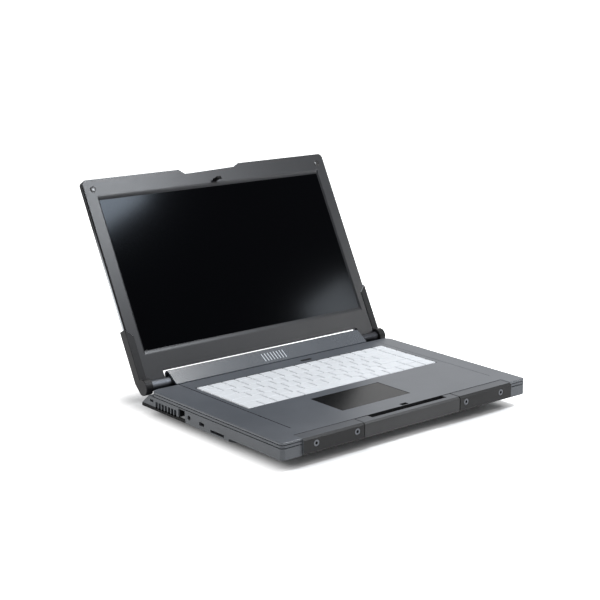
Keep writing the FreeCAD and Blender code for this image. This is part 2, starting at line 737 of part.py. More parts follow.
def cover_outline(inset):
    """Cross-section of the hinge cover, drawn in by a wall."""
    foot = SEAM_Z - (OVER if inset else 0)
    ridge_y = DECK_DEPTH + COVER_RIDGE_BACK
    ridge_z = DECK_HEIGHT + COVER_RIDGE_RISE
    shoulder_z = ridge_z - COVER_SHOULDER_DROP
    return [
        (COVER_FRONT + inset, foot),
        (COVER_FRONT + inset, DECK_HEIGHT + COVER_LIP - inset * COVER_LIP_SHARE),
        (ridge_y, ridge_z - inset * COVER_RIDGE_SHARE),
        (ridge_y + COVER_SHOULDER - inset * COVER_SHOULDER_SHARE, shoulder_z - inset),
        (REAR_Y - inset, shoulder_z - COVER_REAR_DROP - inset * COVER_REAR_SHARE),
        (REAR_Y - inset, foot),
    ]


def slope_frame():
    """Start point and tilt of the cover's front slope."""
    lip = V(0, COVER_FRONT, DECK_HEIGHT + COVER_LIP)
    ridge = V(0, DECK_DEPTH + COVER_RIDGE_BACK, DECK_HEIGHT + COVER_RIDGE_RISE)
    along = ridge - lip
    return lip, math.degrees(math.atan2(along.z, along.y))


def light_bar(index):
    """One light window, let into the slope flush with its face."""
    lip, angle = slope_frame()
    x = LIGHT_CENTRE_X + (index - (LIGHT_BARS - 1) / 2) * LIGHT_PITCH
    bar = block(x - LIGHT_WIDTH / 2, x + LIGHT_WIDTH / 2, LIGHT_FROM_LIP, LIGHT_FROM_LIP + LIGHT_LENGTH,
                -COVER_WALL / 2, 0)
    bar.rotate(V(0, 0, 0), V(1, 0, 0), angle)
    bar.translate(lip)
    return bar


def status_lights():
    """Row of light windows on the hinge cover."""
    return Part.makeCompound([light_bar(i) for i in range(LIGHT_BARS)])


def hinge_cover():
    """Hollow raised strip over the hinges, open at both ends round the barrels."""
    outer = side_prism(cover_outline(0), -COVER_HALF, COVER_HALF)
    inner = side_prism(cover_outline(COVER_WALL), -COVER_HALF - OVER, COVER_HALF + OVER)
    windows = [light_bar(i) for i in range(LIGHT_BARS)]
    return cleared(outer, [inner] + windows)


def hinge_barrel(side):
    """Metal barrel on its bracket, bored for the hinge pin."""
    start = HALF - BARREL_END_INSET
    tube = rod(BARREL_RADIUS, side * start, HINGE_Y, HINGE_Z, BARREL_LENGTH, V(-side, 0, 0))
    x0, x1 = bracket_span(side)
    y0 = HINGE_Y - BRACKET_FRONT
    foot = block(x0, x1, y0, y0 + BRACKET_DEPTH, HINGE_Z - BRACKET_TOP_DROP, HINGE_Z)
    mouth = side * (start + OVER)
    bore = rod(PIN_RADIUS + PIN_CLEARANCE, mouth, HINGE_Y, HINGE_Z, BARREL_LENGTH + 2 * OVER, V(-side, 0, 0))
    return joined([tube, foot]).cut(bore)


def bumper_profile(back):
    """Side outline shared by the bumpers and the handle bar."""
    front = -BUMPER_PROUD
    return [
        (front, BUMPER_BOTTOM + BUMPER_CHAMFER / 2),
        (front, BUMPER_TOP - BUMPER_CHAMFER),
        (front + BUMPER_CHAMFER, BUMPER_TOP),
        (back, BUMPER_TOP),
        (back, BUMPER_BOTTOM),
        (front + BUMPER_CHAMFER / 2, BUMPER_BOTTOM),
    ]


def bumper_screw_places(side):
    """Distance from the middle of the two screws in one bumper."""
    return [side * (HANDLE_HALF + BUMPER_SCREW_IN), side * (BUMPER_END - BUMPER_SCREW_OUT)]


def bumper(side):
    """Moulded corner bumper with two counterbored screw holes."""
    body = side_prism(bumper_profile(BUMPER_BACK), *span(side, HANDLE_HALF + HANDLE_END_GAP, BUMPER_END))
    cutters = []
    front = -BUMPER_PROUD - OVER
    head = SCREW_HEAD_RADIUS + SCREW_CLEARANCE
    head_depth = SCREW_HEAD_SUNK + SCREW_HEAD_DEPTH + OVER
    shank = SCREW_SHANK_RADIUS + SCREW_CLEARANCE
    through = BUMPER_BACK + OVER - front
    for x in bumper_screw_places(side):
        cutters.append(rod(head, x, front, BUMPER_SCREW_HEIGHT, head_depth, V(0, 1, 0)))
        cutters.append(rod(shank, x, front, BUMPER_SCREW_HEIGHT, through, V(0, 1, 0)))
    return cleared(body, cutters)


def bumper_screws():
    """Four round-head socket screws in the bumpers."""
    solids = []
    face = SCREW_HEAD_SUNK - BUMPER_PROUD
    z = BUMPER_SCREW_HEIGHT
    for side in (-1, 1):
        for x in bumper_screw_places(side):
            head = rod(SCREW_HEAD_RADIUS, x, face, z, SCREW_HEAD_DEPTH, V(0, 1, 0))
            shank = rod(SCREW_SHANK_RADIUS, x, face, z, BUMPER_BACK - face, V(0, 1, 0))
            socket = rod(SCREW_SOCKET_RADIUS, x, face - OVER, z, SCREW_HEAD_DEPTH, V(0, 1, 0))
            solids.append(joined([head, shank]).cut(socket))
    return Part.makeCompound(solids)


def handle_bar():
    """Carrying bar, flush with the bumpers, with a finger gap behind its middle."""
    back = BUMPER_BACK - MOVING_GAP
    bar = side_prism(bumper_profile(back), -HANDLE_HALF, HANDLE_HALF)
    gap = block(-HANDLE_GAP_LEFT, HANDLE_GAP_RIGHT, HANDLE_BAR_BACK, BUMPER_BACK, 0, DECK_HEIGHT)
    return bar.cut(gap)


def handle_arm(side):
    """Flat steel arm that slides in its guide."""
    x0, x1 = span(side, HANDLE_ARM_X - HANDLE_ARM_WIDTH / 2, HANDLE_ARM_X + HANDLE_ARM_WIDTH / 2)
    y0 = BUMPER_BACK - MOVING_GAP
    return block(x0, x1, y0, y0 + HANDLE_ARM_LENGTH, HANDLE_ARM_Z, HANDLE_ARM_Z + HANDLE_ARM_HEIGHT)


def handle_guide(side):
    """Sleeve on the front floor that carries one handle arm."""
    inner = HANDLE_ARM_X - HANDLE_ARM_WIDTH / 2 - MOVING_GAP
    outer = HANDLE_ARM_X + HANDLE_ARM_WIDTH / 2 + MOVING_GAP
    y0 = FRONT_WALL_INNER
    y1 = y0 + GUIDE_LENGTH
    low = HANDLE_ARM_Z - MOVING_GAP
    top = HANDLE_ARM_Z + HANDLE_ARM_HEIGHT + MOVING_GAP
    limits = span(side, inner - GUIDE_WALL, outer + GUIDE_WALL)
    body = block(*limits, y0, y1, FRONT_FLOOR_TOP, top + GUIDE_WALL / 2)
    return body.cut(block(*span(side, inner, outer), y0 - OVER, y1 + OVER, low, top))


def battery_pack():
    """Battery slab under the front of the tray."""
    reach = HALF - BATTERY_INSET
    profile = [
        (-reach, FRONT_WALL_FOOT),
        (-reach + BATTERY_SLOPE, SHELL_BOTTOM),
        (reach - BATTERY_SLOPE, SHELL_BOTTOM),
        (reach, FRONT_WALL_FOOT),
    ]
    return front_prism(profile, BATTERY_FRONT, BATTERY_SEAM - SEAM_GAP)


def feet():
    """Four round rubber feet."""
    reach = HALF - FOOT_INSET
    solids = []
    for side in (-1, 1):
        for y in (FRONT_FOOT_Y, REAR_Y - REAR_FOOT_GAP):
            solids.append(rod(FOOT_RADIUS, side * reach, y, 0, FOOT_HEIGHT, V(0, 0, 1)))
    return Part.makeCompound(solids)


def key_places():
    """Every key as (row name, place in the row, left, front, width, depth)."""
    places = []
    y = KEYS_FRONT
    for name, units in KEY_ROWS:
        depth = FUNCTION_ROW if name == "function_row_keys" else KEY_ROW
        x = KEYS_X
        for index, count in enumerate(units):
            places.append((name, index, x, y, count * KEY_UNIT, depth))
            x += count * KEY_UNIT
        y += depth
    return places


def stem_place(x, y, width, depth):
    """Centre of a key's guide stem."""
    return x + width / 2, y + depth / 2


def key_solid(x, y, width, depth):
    """One key cap with the stem that guides it in the tray."""
    half = KEY_GAP / 2
    cap = block(x + half, x + width - half, y + half, y + depth - half, KEY_BASE, KEY_TOP)
    cx, cy = stem_place(x, y, width, depth)
    bottom = TRAY_TOP - TRAY_PLATE
    stem = rod(KEY_STEM_RADIUS, cx, cy, bottom, KEY_BASE - bottom + OVER, V(0, 0, 1))
    return cap.fuse(stem).removeSplitter()


def save_keys():
    """Each row of keys as one node, and the large keys by themselves."""
    rows = {}
    for name, index, x, y, width, depth in key_places():
        node = SINGLE_KEYS.get((name, index), name)
        rows.setdefault(node, []).append(key_solid(x, y, width, depth))
    for node, solids in rows.items():
        save(node, Part.makeCompound(solids))


def keyboard_tray():
    """Pan under the keys, hung from the deck, with a guide hole for each stem."""
    bottom = TRAY_TOP - TRAY_PLATE
    pan = key_well(KEY_WELL_CLEARANCE + TRAY_RIM, bottom, DECK_UNDER)
    cutters = [key_well(KEY_WELL_CLEARANCE, TRAY_TOP, DECK_UNDER + OVER)]
    for name, index, x, y, width, depth in key_places():
        cx, cy = stem_place(x, y, width, depth)
        radius = KEY_STEM_RADIUS + MOVING_GAP
        cutters.append(rod(radius, cx, cy, bottom - OVER, TRAY_PLATE + 2 * OVER, V(0, 0, 1)))
    return cleared(pan, cutters)


def touchpad():
    """Glass-faced pad that clicks about its rear edge."""
    return pad_block(0, PAD_BASE, PAD_TOP)


def touchpad_bracket():
    """Pan under the touchpad with the ledge it hinges on."""
    bottom = DECK_UNDER - PAD_BRACKET_DROP
    outer = pad_block(PAD_BRACKET_MARGIN, bottom, DECK_UNDER)
    room = pad_block(PAD_CLEARANCE, bottom + PAD_BRACKET_PLATE, DECK_UNDER + OVER)
    y1 = PAD_FRONT + PAD_DEPTH
    ledge_back = y1 + PAD_BRACKET_MARGIN / 2
    ledge = block(PAD_X, PAD_X + PAD_WIDTH, y1 - PAD_LEDGE, ledge_back, bottom, PAD_BASE - MOVING_GAP)
    return joined([outer.cut(room), ledge])


def power_button():
    """Oval button that presses down into its cup."""
    return button_slab(0, FIELD_Z + BUTTON_PROUD - BUTTON_HEIGHT, FIELD_Z + BUTTON_PROUD)


def power_switch():
    """Cup under the deck that guides the power button."""
    floor = FIELD_Z + BUTTON_PROUD - BUTTON_HEIGHT - BUTTON_TRAVEL - BUTTON_CLEARANCE
    cup = button_slab(BUTTON_CLEARANCE + BUTTON_CUP_WALL, floor - BUTTON_CUP_WALL, DECK_UNDER)
    return cup.cut(button_slab(BUTTON_CLEARANCE, floor, DECK_UNDER + OVER))


def socket(y, z, width, tall, depth):
    """Open-fronted metal can of a side socket, standing on the board."""
    x0 = -INNER_HALF
    top = z + tall / 2 + SOCKET_WALL
    half = width / 2
    can = block(x0, x0 + depth, y - half - SOCKET_WALL, y + half + SOCKET_WALL, BOARD_TOP, top)
    back = x0 + depth - SOCKET_WALL
    hollow = block(x0 - OVER, back, y - half, y + half, z - tall / 2, z + tall / 2)
    return can.cut(hollow)


def audio_jack():
    """Round socket with its bush in the wall."""
    x0 = -INNER_HALF
    half = AUDIO_RADIUS + SOCKET_WALL
    body = block(x0, x0 + AUDIO_DEPTH, AUDIO_Y - half, AUDIO_Y + half, BOARD_TOP, AUDIO_HEIGHT + half)
    bush = rod(AUDIO_RADIUS, -HALF + AUDIO_BUSH_SETBACK, AUDIO_Y, AUDIO_HEIGHT, SHELL_WALL, V(1, 0, 0))
    bore = rod(AUDIO_BORE_RADIUS, -HALF - OVER, AUDIO_Y, AUDIO_HEIGHT, AUDIO_DEPTH, V(1, 0, 0))
    return joined([body, bush]).cut(bore)


def side_port():
    """Small flat socket with a contact tongue."""
    can = socket(PORT_Y, PORT_HEIGHT, PORT_WIDTH, PORT_TALL, PORT_DEPTH)
    half = PORT_WIDTH / 2 - PORT_TONGUE_SETBACK
    x0 = -INNER_HALF + PORT_TONGUE_SETBACK
    x1 = PORT_DEPTH - INNER_HALF - PORT_TONGUE_END
    tongue = block(x0, x1, PORT_Y - half, PORT_Y + half,
                   PORT_HEIGHT - PORT_TONGUE / 2, PORT_HEIGHT + PORT_TONGUE / 2)
    return joined([can, tongue])


def power_inlet():
    """Round power socket inside the rear wall."""
    y1 = REAR_Y - SHELL_WALL
    half = INLET_BODY / 2
    z = INLET_HEIGHT
    body = block(INLET_X - half, INLET_X + half, y1 - INLET_DEPTH, y1, z - half, z + half)
    bore = rod(INLET_RADIUS - SOCKET_WALL, INLET_X, y1 + OVER, z, INLET_DEPTH - OVER, V(0, -1, 0))
    pin = rod(INLET_PIN_RADIUS, INLET_X, y1, z, INLET_DEPTH - OVER, V(0, -1, 0))
    return joined([body.cut(bore), pin])


def mainboard():
    """Circuit board, stepped round the fan, resting on the standoffs."""
    wide = block(BOARD_LEFT, BOARD_RIGHT, BOARD_FRONT, BOARD_STEP_Y, BOARD_HEIGHT, BOARD_TOP)
    narrow = block(BOARD_STEP_X, BOARD_RIGHT, BOARD_STEP_Y, BOARD_REAR, BOARD_HEIGHT, BOARD_TOP)
    return joined([wide, narrow])


def chip_place():
    """Centre of the processor."""
    return CHIP_LEFT_GAP + CHIP_SIZE / 2 - HALF, VENT_MID_Y


def processor():
    """Processor package on the board."""
    cx, cy = chip_place()
    half = CHIP_SIZE / 2
    return block(cx - half, cx + half, cy - half, cy + half, BOARD_TOP, BOARD_TOP + CHIP_THICKNESS)


def heat_block():
    """Copper block that takes the processor's heat to the pipe."""
    cx, cy = chip_place()
    half = HEAT_BLOCK_SIZE / 2
    return block(cx - half, cx + half, cy - half, cy + half, BOARD_TOP + CHIP_THICKNESS, HEAT_LEVEL)


def fin_stack():
    """Comb of fins just inside the vent slots."""
    x0 = -INNER_HALF
    half = (VENT_SPAN + VENT_PITCH) / 2
    z0 = HEAT_LEVEL - FIN_STACK_HEIGHT
    stack = block(x0, x0 + FIN_LENGTH, VENT_MID_Y - half, VENT_MID_Y + half, z0, HEAT_LEVEL)
    pitch = (2 * half - FIN_PLATE) / FINS
    low = z0 + FIN_PLATE
    top = HEAT_LEVEL - FIN_PLATE
    gaps = []
    for i in range(FINS):
        y = VENT_MID_Y - half + FIN_PLATE + i * pitch
        gaps.append(block(x0 - OVER, x0 + FIN_LENGTH + OVER, y, y + pitch - FIN_PLATE, low, top))
    return cleared(stack, gaps)


def heat_pipe():
    """Flattened pipe lying on the heat block, the fan and the fins."""
    cx, cy = chip_place()
    half = PIPE_WIDTH / 2
    x1 = cx + HEAT_BLOCK_SIZE / 2
    top = HEAT_LEVEL + PIPE_HEIGHT
    pipe = block(-INNER_HALF + PIPE_END_GAP, x1, cy - half, cy + half, HEAT_LEVEL, top)
    return pipe.makeFillet(PIPE_HEIGHT / 3, pipe.Edges)


def fan_centre():
    """Axis of the fan."""
    return FAN_X + FAN_WIDTH / 2, FAN_FRONT + FAN_DEPTH / 2


def fan_housing():
    """Blower housing with its shaft, open to the fins and below."""
    cx, cy = fan_centre()
    box = block(FAN_X, FAN_X + FAN_WIDTH, FAN_FRONT, FAN_FRONT + FAN_DEPTH, FLOOR_TOP, HEAT_LEVEL)
    room = FAN_ROTOR_RADIUS + FAN_ROTOR_GAP
    mouth = room * FAN_OUTLET_SHARE
    top = HEAT_LEVEL - FAN_WALL
    low = FLOOR_TOP + FAN_WALL
    cavity = rod(room, cx, cy, low, top - low, V(0, 0, 1))
    outlet = block(FAN_X - OVER, cx, cy - mouth, cy + mouth, low, top)
    intake = rod(FAN_HUB_RADIUS + FAN_WALL, cx, cy, FLOOR_TOP - OVER, FAN_WALL + 2 * OVER, V(0, 0, 1))
    shaft = rod(FAN_SHAFT_RADIUS, cx, cy, low, HEAT_LEVEL - low - OVER, V(0, 0, 1))
    return joined([cleared(box, [cavity, outlet, intake]), shaft])


def fan_rotor():
    """Hub and blades that turn on the shaft."""
    cx, cy = fan_centre()
    z0 = FLOOR_TOP + FAN_WALL + MOVING_GAP
    tall = HEAT_LEVEL - FAN_WALL - MOVING_GAP - z0
    pieces = [rod(FAN_HUB_RADIUS, cx, cy, z0, tall, V(0, 0, 1))]
    root = cx + FAN_HUB_RADIUS - OVER
    half = FAN_BLADE / 2
    for i in range(FAN_BLADES):
        blade = block(root, cx + FAN_ROTOR_RADIUS, cy - half, cy + half, z0, z0 + tall)
        blade.rotate(V(cx, cy, 0), V(0, 0, 1), 360 * i / FAN_BLADES)
        pieces.append(blade)
    bore = rod(FAN_SHAFT_RADIUS + FAN_SHAFT_CLEARANCE, cx, cy, z0 - OVER, tall + 2 * OVER, V(0, 0, 1))
    return joined(pieces).cut(bore)


def memory_modules():
    """Two memory modules in their low sockets."""
    x1 = BOARD_RIGHT - 2 * BOSS_INSET
    y0 = BOARD_FRONT + 3 * BOSS_INSET
    step = MEMORY_DEPTH + MEMORY_GAP
    top = BOARD_TOP + MEMORY_HEIGHT
    modules = []
    for y in (y0, y0 + step):
        modules.append(block(x1 - MEMORY_WIDTH, x1, y, y + MEMORY_DEPTH, BOARD_TOP, top))
    return Part.makeCompound(modules)


def wireless_card():
    """Radio card on the board."""
    x0 = BOARD_STEP_X + 2 * BOSS_INSET
    y0 = BOARD_FRONT + 3 * BOSS_INSET
    return block(x0, x0 + WIRELESS_WIDTH, y0, y0 + WIRELESS_DEPTH, BOARD_TOP, BOARD_TOP + WIRELESS_HEIGHT)


def clock_cell():
    """Coin cell on the board."""
    x = BOARD_STEP_X + 2 * BOSS_INSET + WIRELESS_WIDTH / 2
    y = BOARD_FRONT + 3 * BOSS_INSET + WIRELESS_DEPTH + CELL_RADIUS + MEMORY_GAP
    return rod(CELL_RADIUS, x, y, BOARD_TOP, CELL_HEIGHT, V(0, 0, 1))


def drive_block(margin, z0, z1):
    """Rectangle of the drive, widened by a margin."""
    x1 = HALF - DRIVE_RIGHT_GAP
    x0 = x1 - DRIVE_WIDTH
    y1 = DRIVE_FRONT + DRIVE_DEPTH
    return block(x0 - margin, x1 + margin, DRIVE_FRONT - margin, y1 + margin, z0, z1)


def drive_caddy():
    """Open tray that holds the drive on the floor."""
    tray = drive_block(CADDY_WALL, FLOOR_TOP, FLOOR_TOP + DRIVE_HEIGHT)
    return tray.cut(drive_block(0, FLOOR_TOP + CADDY_WALL, FLOOR_TOP + DRIVE_HEIGHT + OVER))


def solid_state_drive():
    """Drive lying in its caddy."""
    return drive_block(0, FLOOR_TOP + CADDY_WALL, FLOOR_TOP + CADDY_WALL + DRIVE_HEIGHT)


def speaker(side):
    """Speaker box in a front corner."""
    outer = HALF - SPEAKER_INSET
    limits = span(side, outer - SPEAKER_WIDTH, outer)
    back = SPEAKER_FRONT + SPEAKER_DEPTH
    return block(*limits, SPEAKER_FRONT, back, FRONT_FLOOR_TOP, FRONT_FLOOR_TOP + SPEAKER_HEIGHT)


def lid_layer(inset, z0, z1):
    """Outline of the closed lid between two heights, with hinge ears and the top recess."""
    reach = LID_HALF - inset
    low = LID_BOTTOM_Y - inset
    ear = HINGE_Y - EAR_BOTTOM - inset
    plate = block(-reach, reach, inset, low, z0, z1)
    corners = upright_edges(plate, reach - LID_CORNER_RADIUS, lambda y: y < DECK_DEPTH / 2)
    plate = plate.makeFillet(LID_CORNER_RADIUS, corners)
    ear_inner = HALF - EAR_WIDTH + inset
    ears = [block(*span(side, ear_inner, reach), low - OVER, ear, z0, z1) for side in (-1, 1)]
    notch = [
        (-RECESS_TOP_HALF - inset, -OVER),
        (-RECESS_TOP_HALF - inset, 0),
        (-RECESS_FLOOR_HALF - inset, RECESS_DEPTH + inset),
        (RECESS_FLOOR_HALF + inset, RECESS_DEPTH + inset),
        (RECESS_TOP_HALF + inset, 0),
        (RECESS_TOP_HALF + inset, -OVER),
    ]
    return joined([plate] + ears).cut(plan_prism(notch, z0 - OVER, z1 + OVER))


def lid_arm_solid(side):
    """Side outline of an arm: flat along the lid, rounded about the hinge."""
    radius = ARM_END_RADIUS
    low = BEZEL_LIFT - ARM_PROUD_FRONT
    high = LID_BACK_Z - HINGE_Z + ARM_PROUD_BACK
    tail = math.radians(ARM_TAIL_ANGLE)
    x = span(side, ARM_INNER, ARM_INNER + ARM_WIDTH)[0]

    def at(y, z):
        return V(x, HINGE_Y + y, HINGE_Z + z)

    start = at(-math.sqrt(radius ** 2 - low ** 2), low)
    under = at(radius * math.cos(-tail), radius * math.sin(-tail))
    stop = at(radius * math.cos(tail), radius * math.sin(tail))
    corners = [stop, at(-ARM_NECK, high), at(-ARM_LENGTH, high), at(-ARM_LENGTH, low), start]
    edges = [Part.Arc(start, under, stop).toShape()]
    for a, b in zip(corners, corners[1:]):
        edges.append(Part.LineSegment(a, b).toShape())
    solid = Part.Face(Part.Wire(edges)).extrude(V(ARM_WIDTH, 0, 0))
    outer = ARM_INNER + ARM_WIDTH
    top_y = HINGE_Y - ARM_LENGTH
    slant = [
        (side * (ARM_INNER - OVER), top_y - OVER),
        (side * (ARM_INNER - OVER), top_y + ARM_TOP_SLANT),
        (side * ARM_INNER, top_y + ARM_TOP_SLANT),
        (side * outer, top_y),
        (side * outer, top_y - OVER),
    ]
    return solid.cut(plan_prism(slant, HINGE_Z - radius, LID_BACK_Z + ARM_PROUD_BACK + OVER))


def lid_arm(side):
    """Corner arm with its bore for the hinge pin."""
    outer = ARM_INNER + ARM_WIDTH
    bore = rod(PIN_RADIUS, side * (outer - ARM_PROUD_SIDE), HINGE_Y, HINGE_Z, ARM_WIDTH, V(-side, 0, 0))
    return lid_arm_solid(side).cut(bore)


def hinge_pins():
    """Steel pins fixed in the arms, turning in the barrels."""
    outer = ARM_INNER + ARM_WIDTH - ARM_PROUD_SIDE
    pins = [rod(PIN_RADIUS, side * outer, HINGE_Y, HINGE_Z, PIN_LENGTH, V(-side, 0, 0)) for side in (-1, 1)]
    return Part.makeCompound(pins)


def screen_opening():
    """Bevelled opening of the bezel, wider at the front face."""
    half = SCREEN_WIDTH / 2

    def ring(side, end, z):
        x, y0, y1 = half + side, SCREEN_HIGH_Y - end, SCREEN_LOW_Y + end
        points = [V(-x, y0, z), V(x, y0, z), V(x, y1, z), V(-x, y1, z)]
        return Part.makePolygon(points + points[:1])

    wide = ring(BEZEL_BEVEL_SIDE, BEZEL_BEVEL_END, BEZEL_Z)
    return Part.makeLoft([wide, ring(0, 0, LID_FRAME_Z)], True, True)


def hook_slot():
    """Slot in the bezel for the hook's stem over its travel."""
    x0 = HOOK_X - MOVING_GAP
    x1 = HOOK_X + HOOK_STEM_WIDTH + HOOK_TRAVEL + MOVING_GAP
    return block(x0, x1, HOOK_FRONT - MOVING_GAP, HOOK_REAR + MOVING_GAP, BEZEL_Z - OVER, LID_FRAME_Z + OVER)


def carriage_block(margin, ahead, z0, z1):
    """Rectangle of the latch carriage, widened by a margin and run ahead by a travel."""
    x0 = HOOK_X - CARRIAGE_MARGIN - margin
    x1 = HOOK_X + HOOK_STEM_WIDTH + CARRIAGE_MARGIN + ahead + margin
    return block(x0, x1, HOOK_REAR - CARRIAGE_DEPTH - margin, HOOK_REAR + margin, z0, z1)


def latch_hook():
    """Hook and the carriage that slides in the lid frame."""
    z0 = LID_FRAME_Z + MOVING_GAP
    carriage = carriage_block(0, 0, z0, z0 + CARRIAGE_HEIGHT)
    tip = BEZEL_Z - HOOK_REACH
    x1 = HOOK_X + HOOK_STEM_WIDTH
    stem = block(HOOK_X, x1, HOOK_FRONT, HOOK_REAR, tip, z0 + CARRIAGE_HEIGHT)
    step = tip + HOOK_TOE_HEIGHT
    toe = [(x1 - OVER, tip), (x1 - OVER, step), (x1 + HOOK_TOE, step), (x1 + HOOK_TOE_TIP, tip)]
    return joined([carriage, stem, front_prism(toe, HOOK_FRONT, HOOK_REAR)])


def lid_bezel():
    """Grey front frame of the lid."""
    plate = lid_layer(0, BEZEL_Z, LID_FRAME_Z)
    return cleared(plate, [screen_opening(), hook_slot()] + both_sides(lid_arm_solid))


def lid_frame():
    """Black inner frame round the display, seen as a dark line at the lid's edge."""
    plate = lid_layer(LID_FRAME_INSET, LID_FRAME_Z, LID_SHELL_Z)
    reach = PANEL_HALF + PANEL_CLEARANCE
    room = block(-reach, reach, PANEL_HIGH_Y - PANEL_CLEARANCE, PANEL_LOW_Y + PANEL_CLEARANCE,
                 0, LID_BACK_Z)
    pocket = carriage_block(MOVING_GAP, HOOK_TRAVEL, LID_FRAME_Z - OVER, LID_SHELL_Z + OVER)
    return cleared(plate, [room, pocket] + both_sides(lid_arm_solid))


def display_panel():
    """Flat display panel behind the bezel."""
    back = LID_FRAME_Z + PANEL_THICKNESS
    return block(-PANEL_HALF, PANEL_HALF, PANEL_HIGH_Y, PANEL_LOW_Y, LID_FRAME_Z, back)


def lid_shell():
    """Silver back of the lid."""
    plate = lid_layer(0, LID_SHELL_Z, LID_BACK_Z)
    plate = plate.makeFillet(LID_EDGE_ROUND, level_edges(plate, LID_BACK_Z))
    reach = PANEL_HALF + PANEL_CLEARANCE
    room = block(-reach, reach, PANEL_HIGH_Y - PANEL_CLEARANCE, PANEL_LOW_Y + PANEL_CLEARANCE,
                 LID_SHELL_Z - OVER, LID_BACK_Z - LID_SKIN)
    return cleared(plate, [room] + both_sides(lid_arm_solid))


def lid_stops():
    """Two round rubber stops at the top corners of the bezel."""
    x = HALF - STOP_INSET_SIDE
    solids = []
    for side in (-1, 1):
        stop = rod(STOP_RADIUS, side * x, STOP_INSET_TOP, BEZEL_Z - STOP_HEIGHT, STOP_HEIGHT, V(0, 0, 1))
        solids.append(stop.makeChamfer(STOP_CHAMFER, level_edges(stop, BEZEL_Z - STOP_HEIGHT)))
    return Part.makeCompound(solids)


def build():
    """Make every piece and write it out."""
    os.makedirs("parts", exist_ok=True)
    base_pieces = [
        lower_shell, mid_frame, top_deck, hinge_cover, status_lights, keyboard_tray, bumper_screws,
        base_screws, feet, battery_pack, mainboard, processor, heat_block, heat_pipe, fin_stack, fan_housing,
        fan_rotor, memory_modules, wireless_card, clock_cell, drive_caddy, solid_state_drive, audio_jack,
        side_port, lock_plate, power_inlet, latch_strike, touchpad, touchpad_bracket, power_button,
        power_switch, handle_bar,
    ]
    for make in base_pieces:
        save(make.__name__, make())
    save("left_bumper", bumper(-1))
    save("right_bumper", bumper(1))
    save("left_hinge_barrel", hinge_barrel(-1))
    save("right_hinge_barrel", hinge_barrel(1))
    save("network_socket", socket(NET_Y, NET_HEIGHT, NET_WIDTH, NET_TALL, NET_DEPTH))
    save("card_reader", socket(CARD_Y, CARD_HEIGHT, CARD_WIDTH, CARD_TALL, CARD_DEPTH))
    save("handle_arms", Part.makeCompound(both_sides(handle_arm)))
    save("handle_guides", Part.makeCompound(both_sides(handle_guide)))
    save("speakers", Part.makeCompound(both_sides(speaker)))
    save_keys()
    lid_pieces = [lid_bezel, lid_frame, display_panel, lid_shell, lid_stops, hinge_pins, latch_hook]
    for make in lid_pieces:
        save(make.__name__, opened(make()))
    save("left_lid_arm", opened(lid_arm(-1)))
    save("right_lid_arm", opened(lid_arm(1)))


build()
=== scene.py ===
import math
import bpy
from mathutils import Matrix, Vector


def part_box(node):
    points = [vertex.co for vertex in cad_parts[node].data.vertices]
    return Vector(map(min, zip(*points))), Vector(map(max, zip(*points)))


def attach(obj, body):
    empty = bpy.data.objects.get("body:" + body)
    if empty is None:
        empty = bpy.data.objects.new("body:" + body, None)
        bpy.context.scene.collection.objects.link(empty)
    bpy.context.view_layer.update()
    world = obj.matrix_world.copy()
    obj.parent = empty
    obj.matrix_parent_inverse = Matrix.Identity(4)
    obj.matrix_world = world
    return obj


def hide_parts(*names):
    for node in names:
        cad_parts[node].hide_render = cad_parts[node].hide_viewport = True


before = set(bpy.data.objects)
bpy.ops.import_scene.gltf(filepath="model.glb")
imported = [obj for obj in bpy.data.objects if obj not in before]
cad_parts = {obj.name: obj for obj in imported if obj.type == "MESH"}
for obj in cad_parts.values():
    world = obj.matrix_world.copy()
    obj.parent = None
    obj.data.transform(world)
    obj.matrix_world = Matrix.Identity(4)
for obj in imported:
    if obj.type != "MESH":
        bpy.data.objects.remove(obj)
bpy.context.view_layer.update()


# Lower shell: the deep tray of the base, a thin-walled light alloy casting screwed on from below.
# Its satin mid grey paint has a fine grain that breaks up the light. Its lower edge from the
# network socket to the back is painted black, as painted shade under the wall.
MM = 0.001
CLOUD_SIZE = 60 * MM
TONE_RANGE, GRAIN_RANGE = (0.12, 0.40), (0.3, 0.7)
GLOSS_SPREAD, RELIEF_STRENGTH = 0.05, 0.35
# Places of the colour sockets on a Mix node
COLOUR_A, COLOUR_B, COLOUR_OUT = 6, 7, 2
WELD_DISTANCE, FLAT_WEIGHT = 0.002 * MM, 100
FLAT_ANGLE, BREAK_ANGLE, SMOOTH_ANGLE = math.radians(0.5), math.radians(35), math.radians(40)
# Top and soft border of the black painted shade on the lower shell's edge
SHADED_EDGE_TOP, EDGE_BLUR = 17.2 * MM, 0.1 * MM
# Colour and sheen of painted shade, on the shell's lower edge and the lid's upper sides
SHADE_BLACK, SHADE_SHEEN = "#0b0b0c", 0.05
GAP_DEPTH, GAP_SHARE = 1.0 * MM, 2.2
# A face looks along an axis when its normal has more than this there
FACING = 0.7


def linear(hex_colour):
    """Linear colour of an sRGB hex value."""
    parts = [int(hex_colour[i:i + 2], 16) / 255 for i in (1, 3, 5)]
    return tuple(c / 12.92 if c <= 0.04045 else ((c + 0.055) / 1.055) ** 2.4 for c in parts) + (1.0,)


def add_node(tree, kind, links=(), **settings):
    """One node with its settings, and links as (socket of another node, own input)."""
    node = tree.nodes.new(kind)
    for name, value in settings.items():
        if hasattr(node, name):
            setattr(node, name, value)
        else:
            node.inputs[name.replace("_", " ")].default_value = value
    for source, target in links:
        tree.links.new(source, node.inputs[target])
    return node


def blank_material(name, **shader_settings):
    """A new material with its shader, and the object coordinates that its patterns use."""
    material = bpy.data.materials.new(name)
    material.use_nodes = True
    tree = material.node_tree
    shader = tree.nodes["Principled BSDF"]
    for socket, value in shader_settings.items():
        shader.inputs[socket.replace("_", " ")].default_value = value
    place = add_node(tree, "ShaderNodeTexCoord").outputs["Object"]
    return material, tree, shader, place


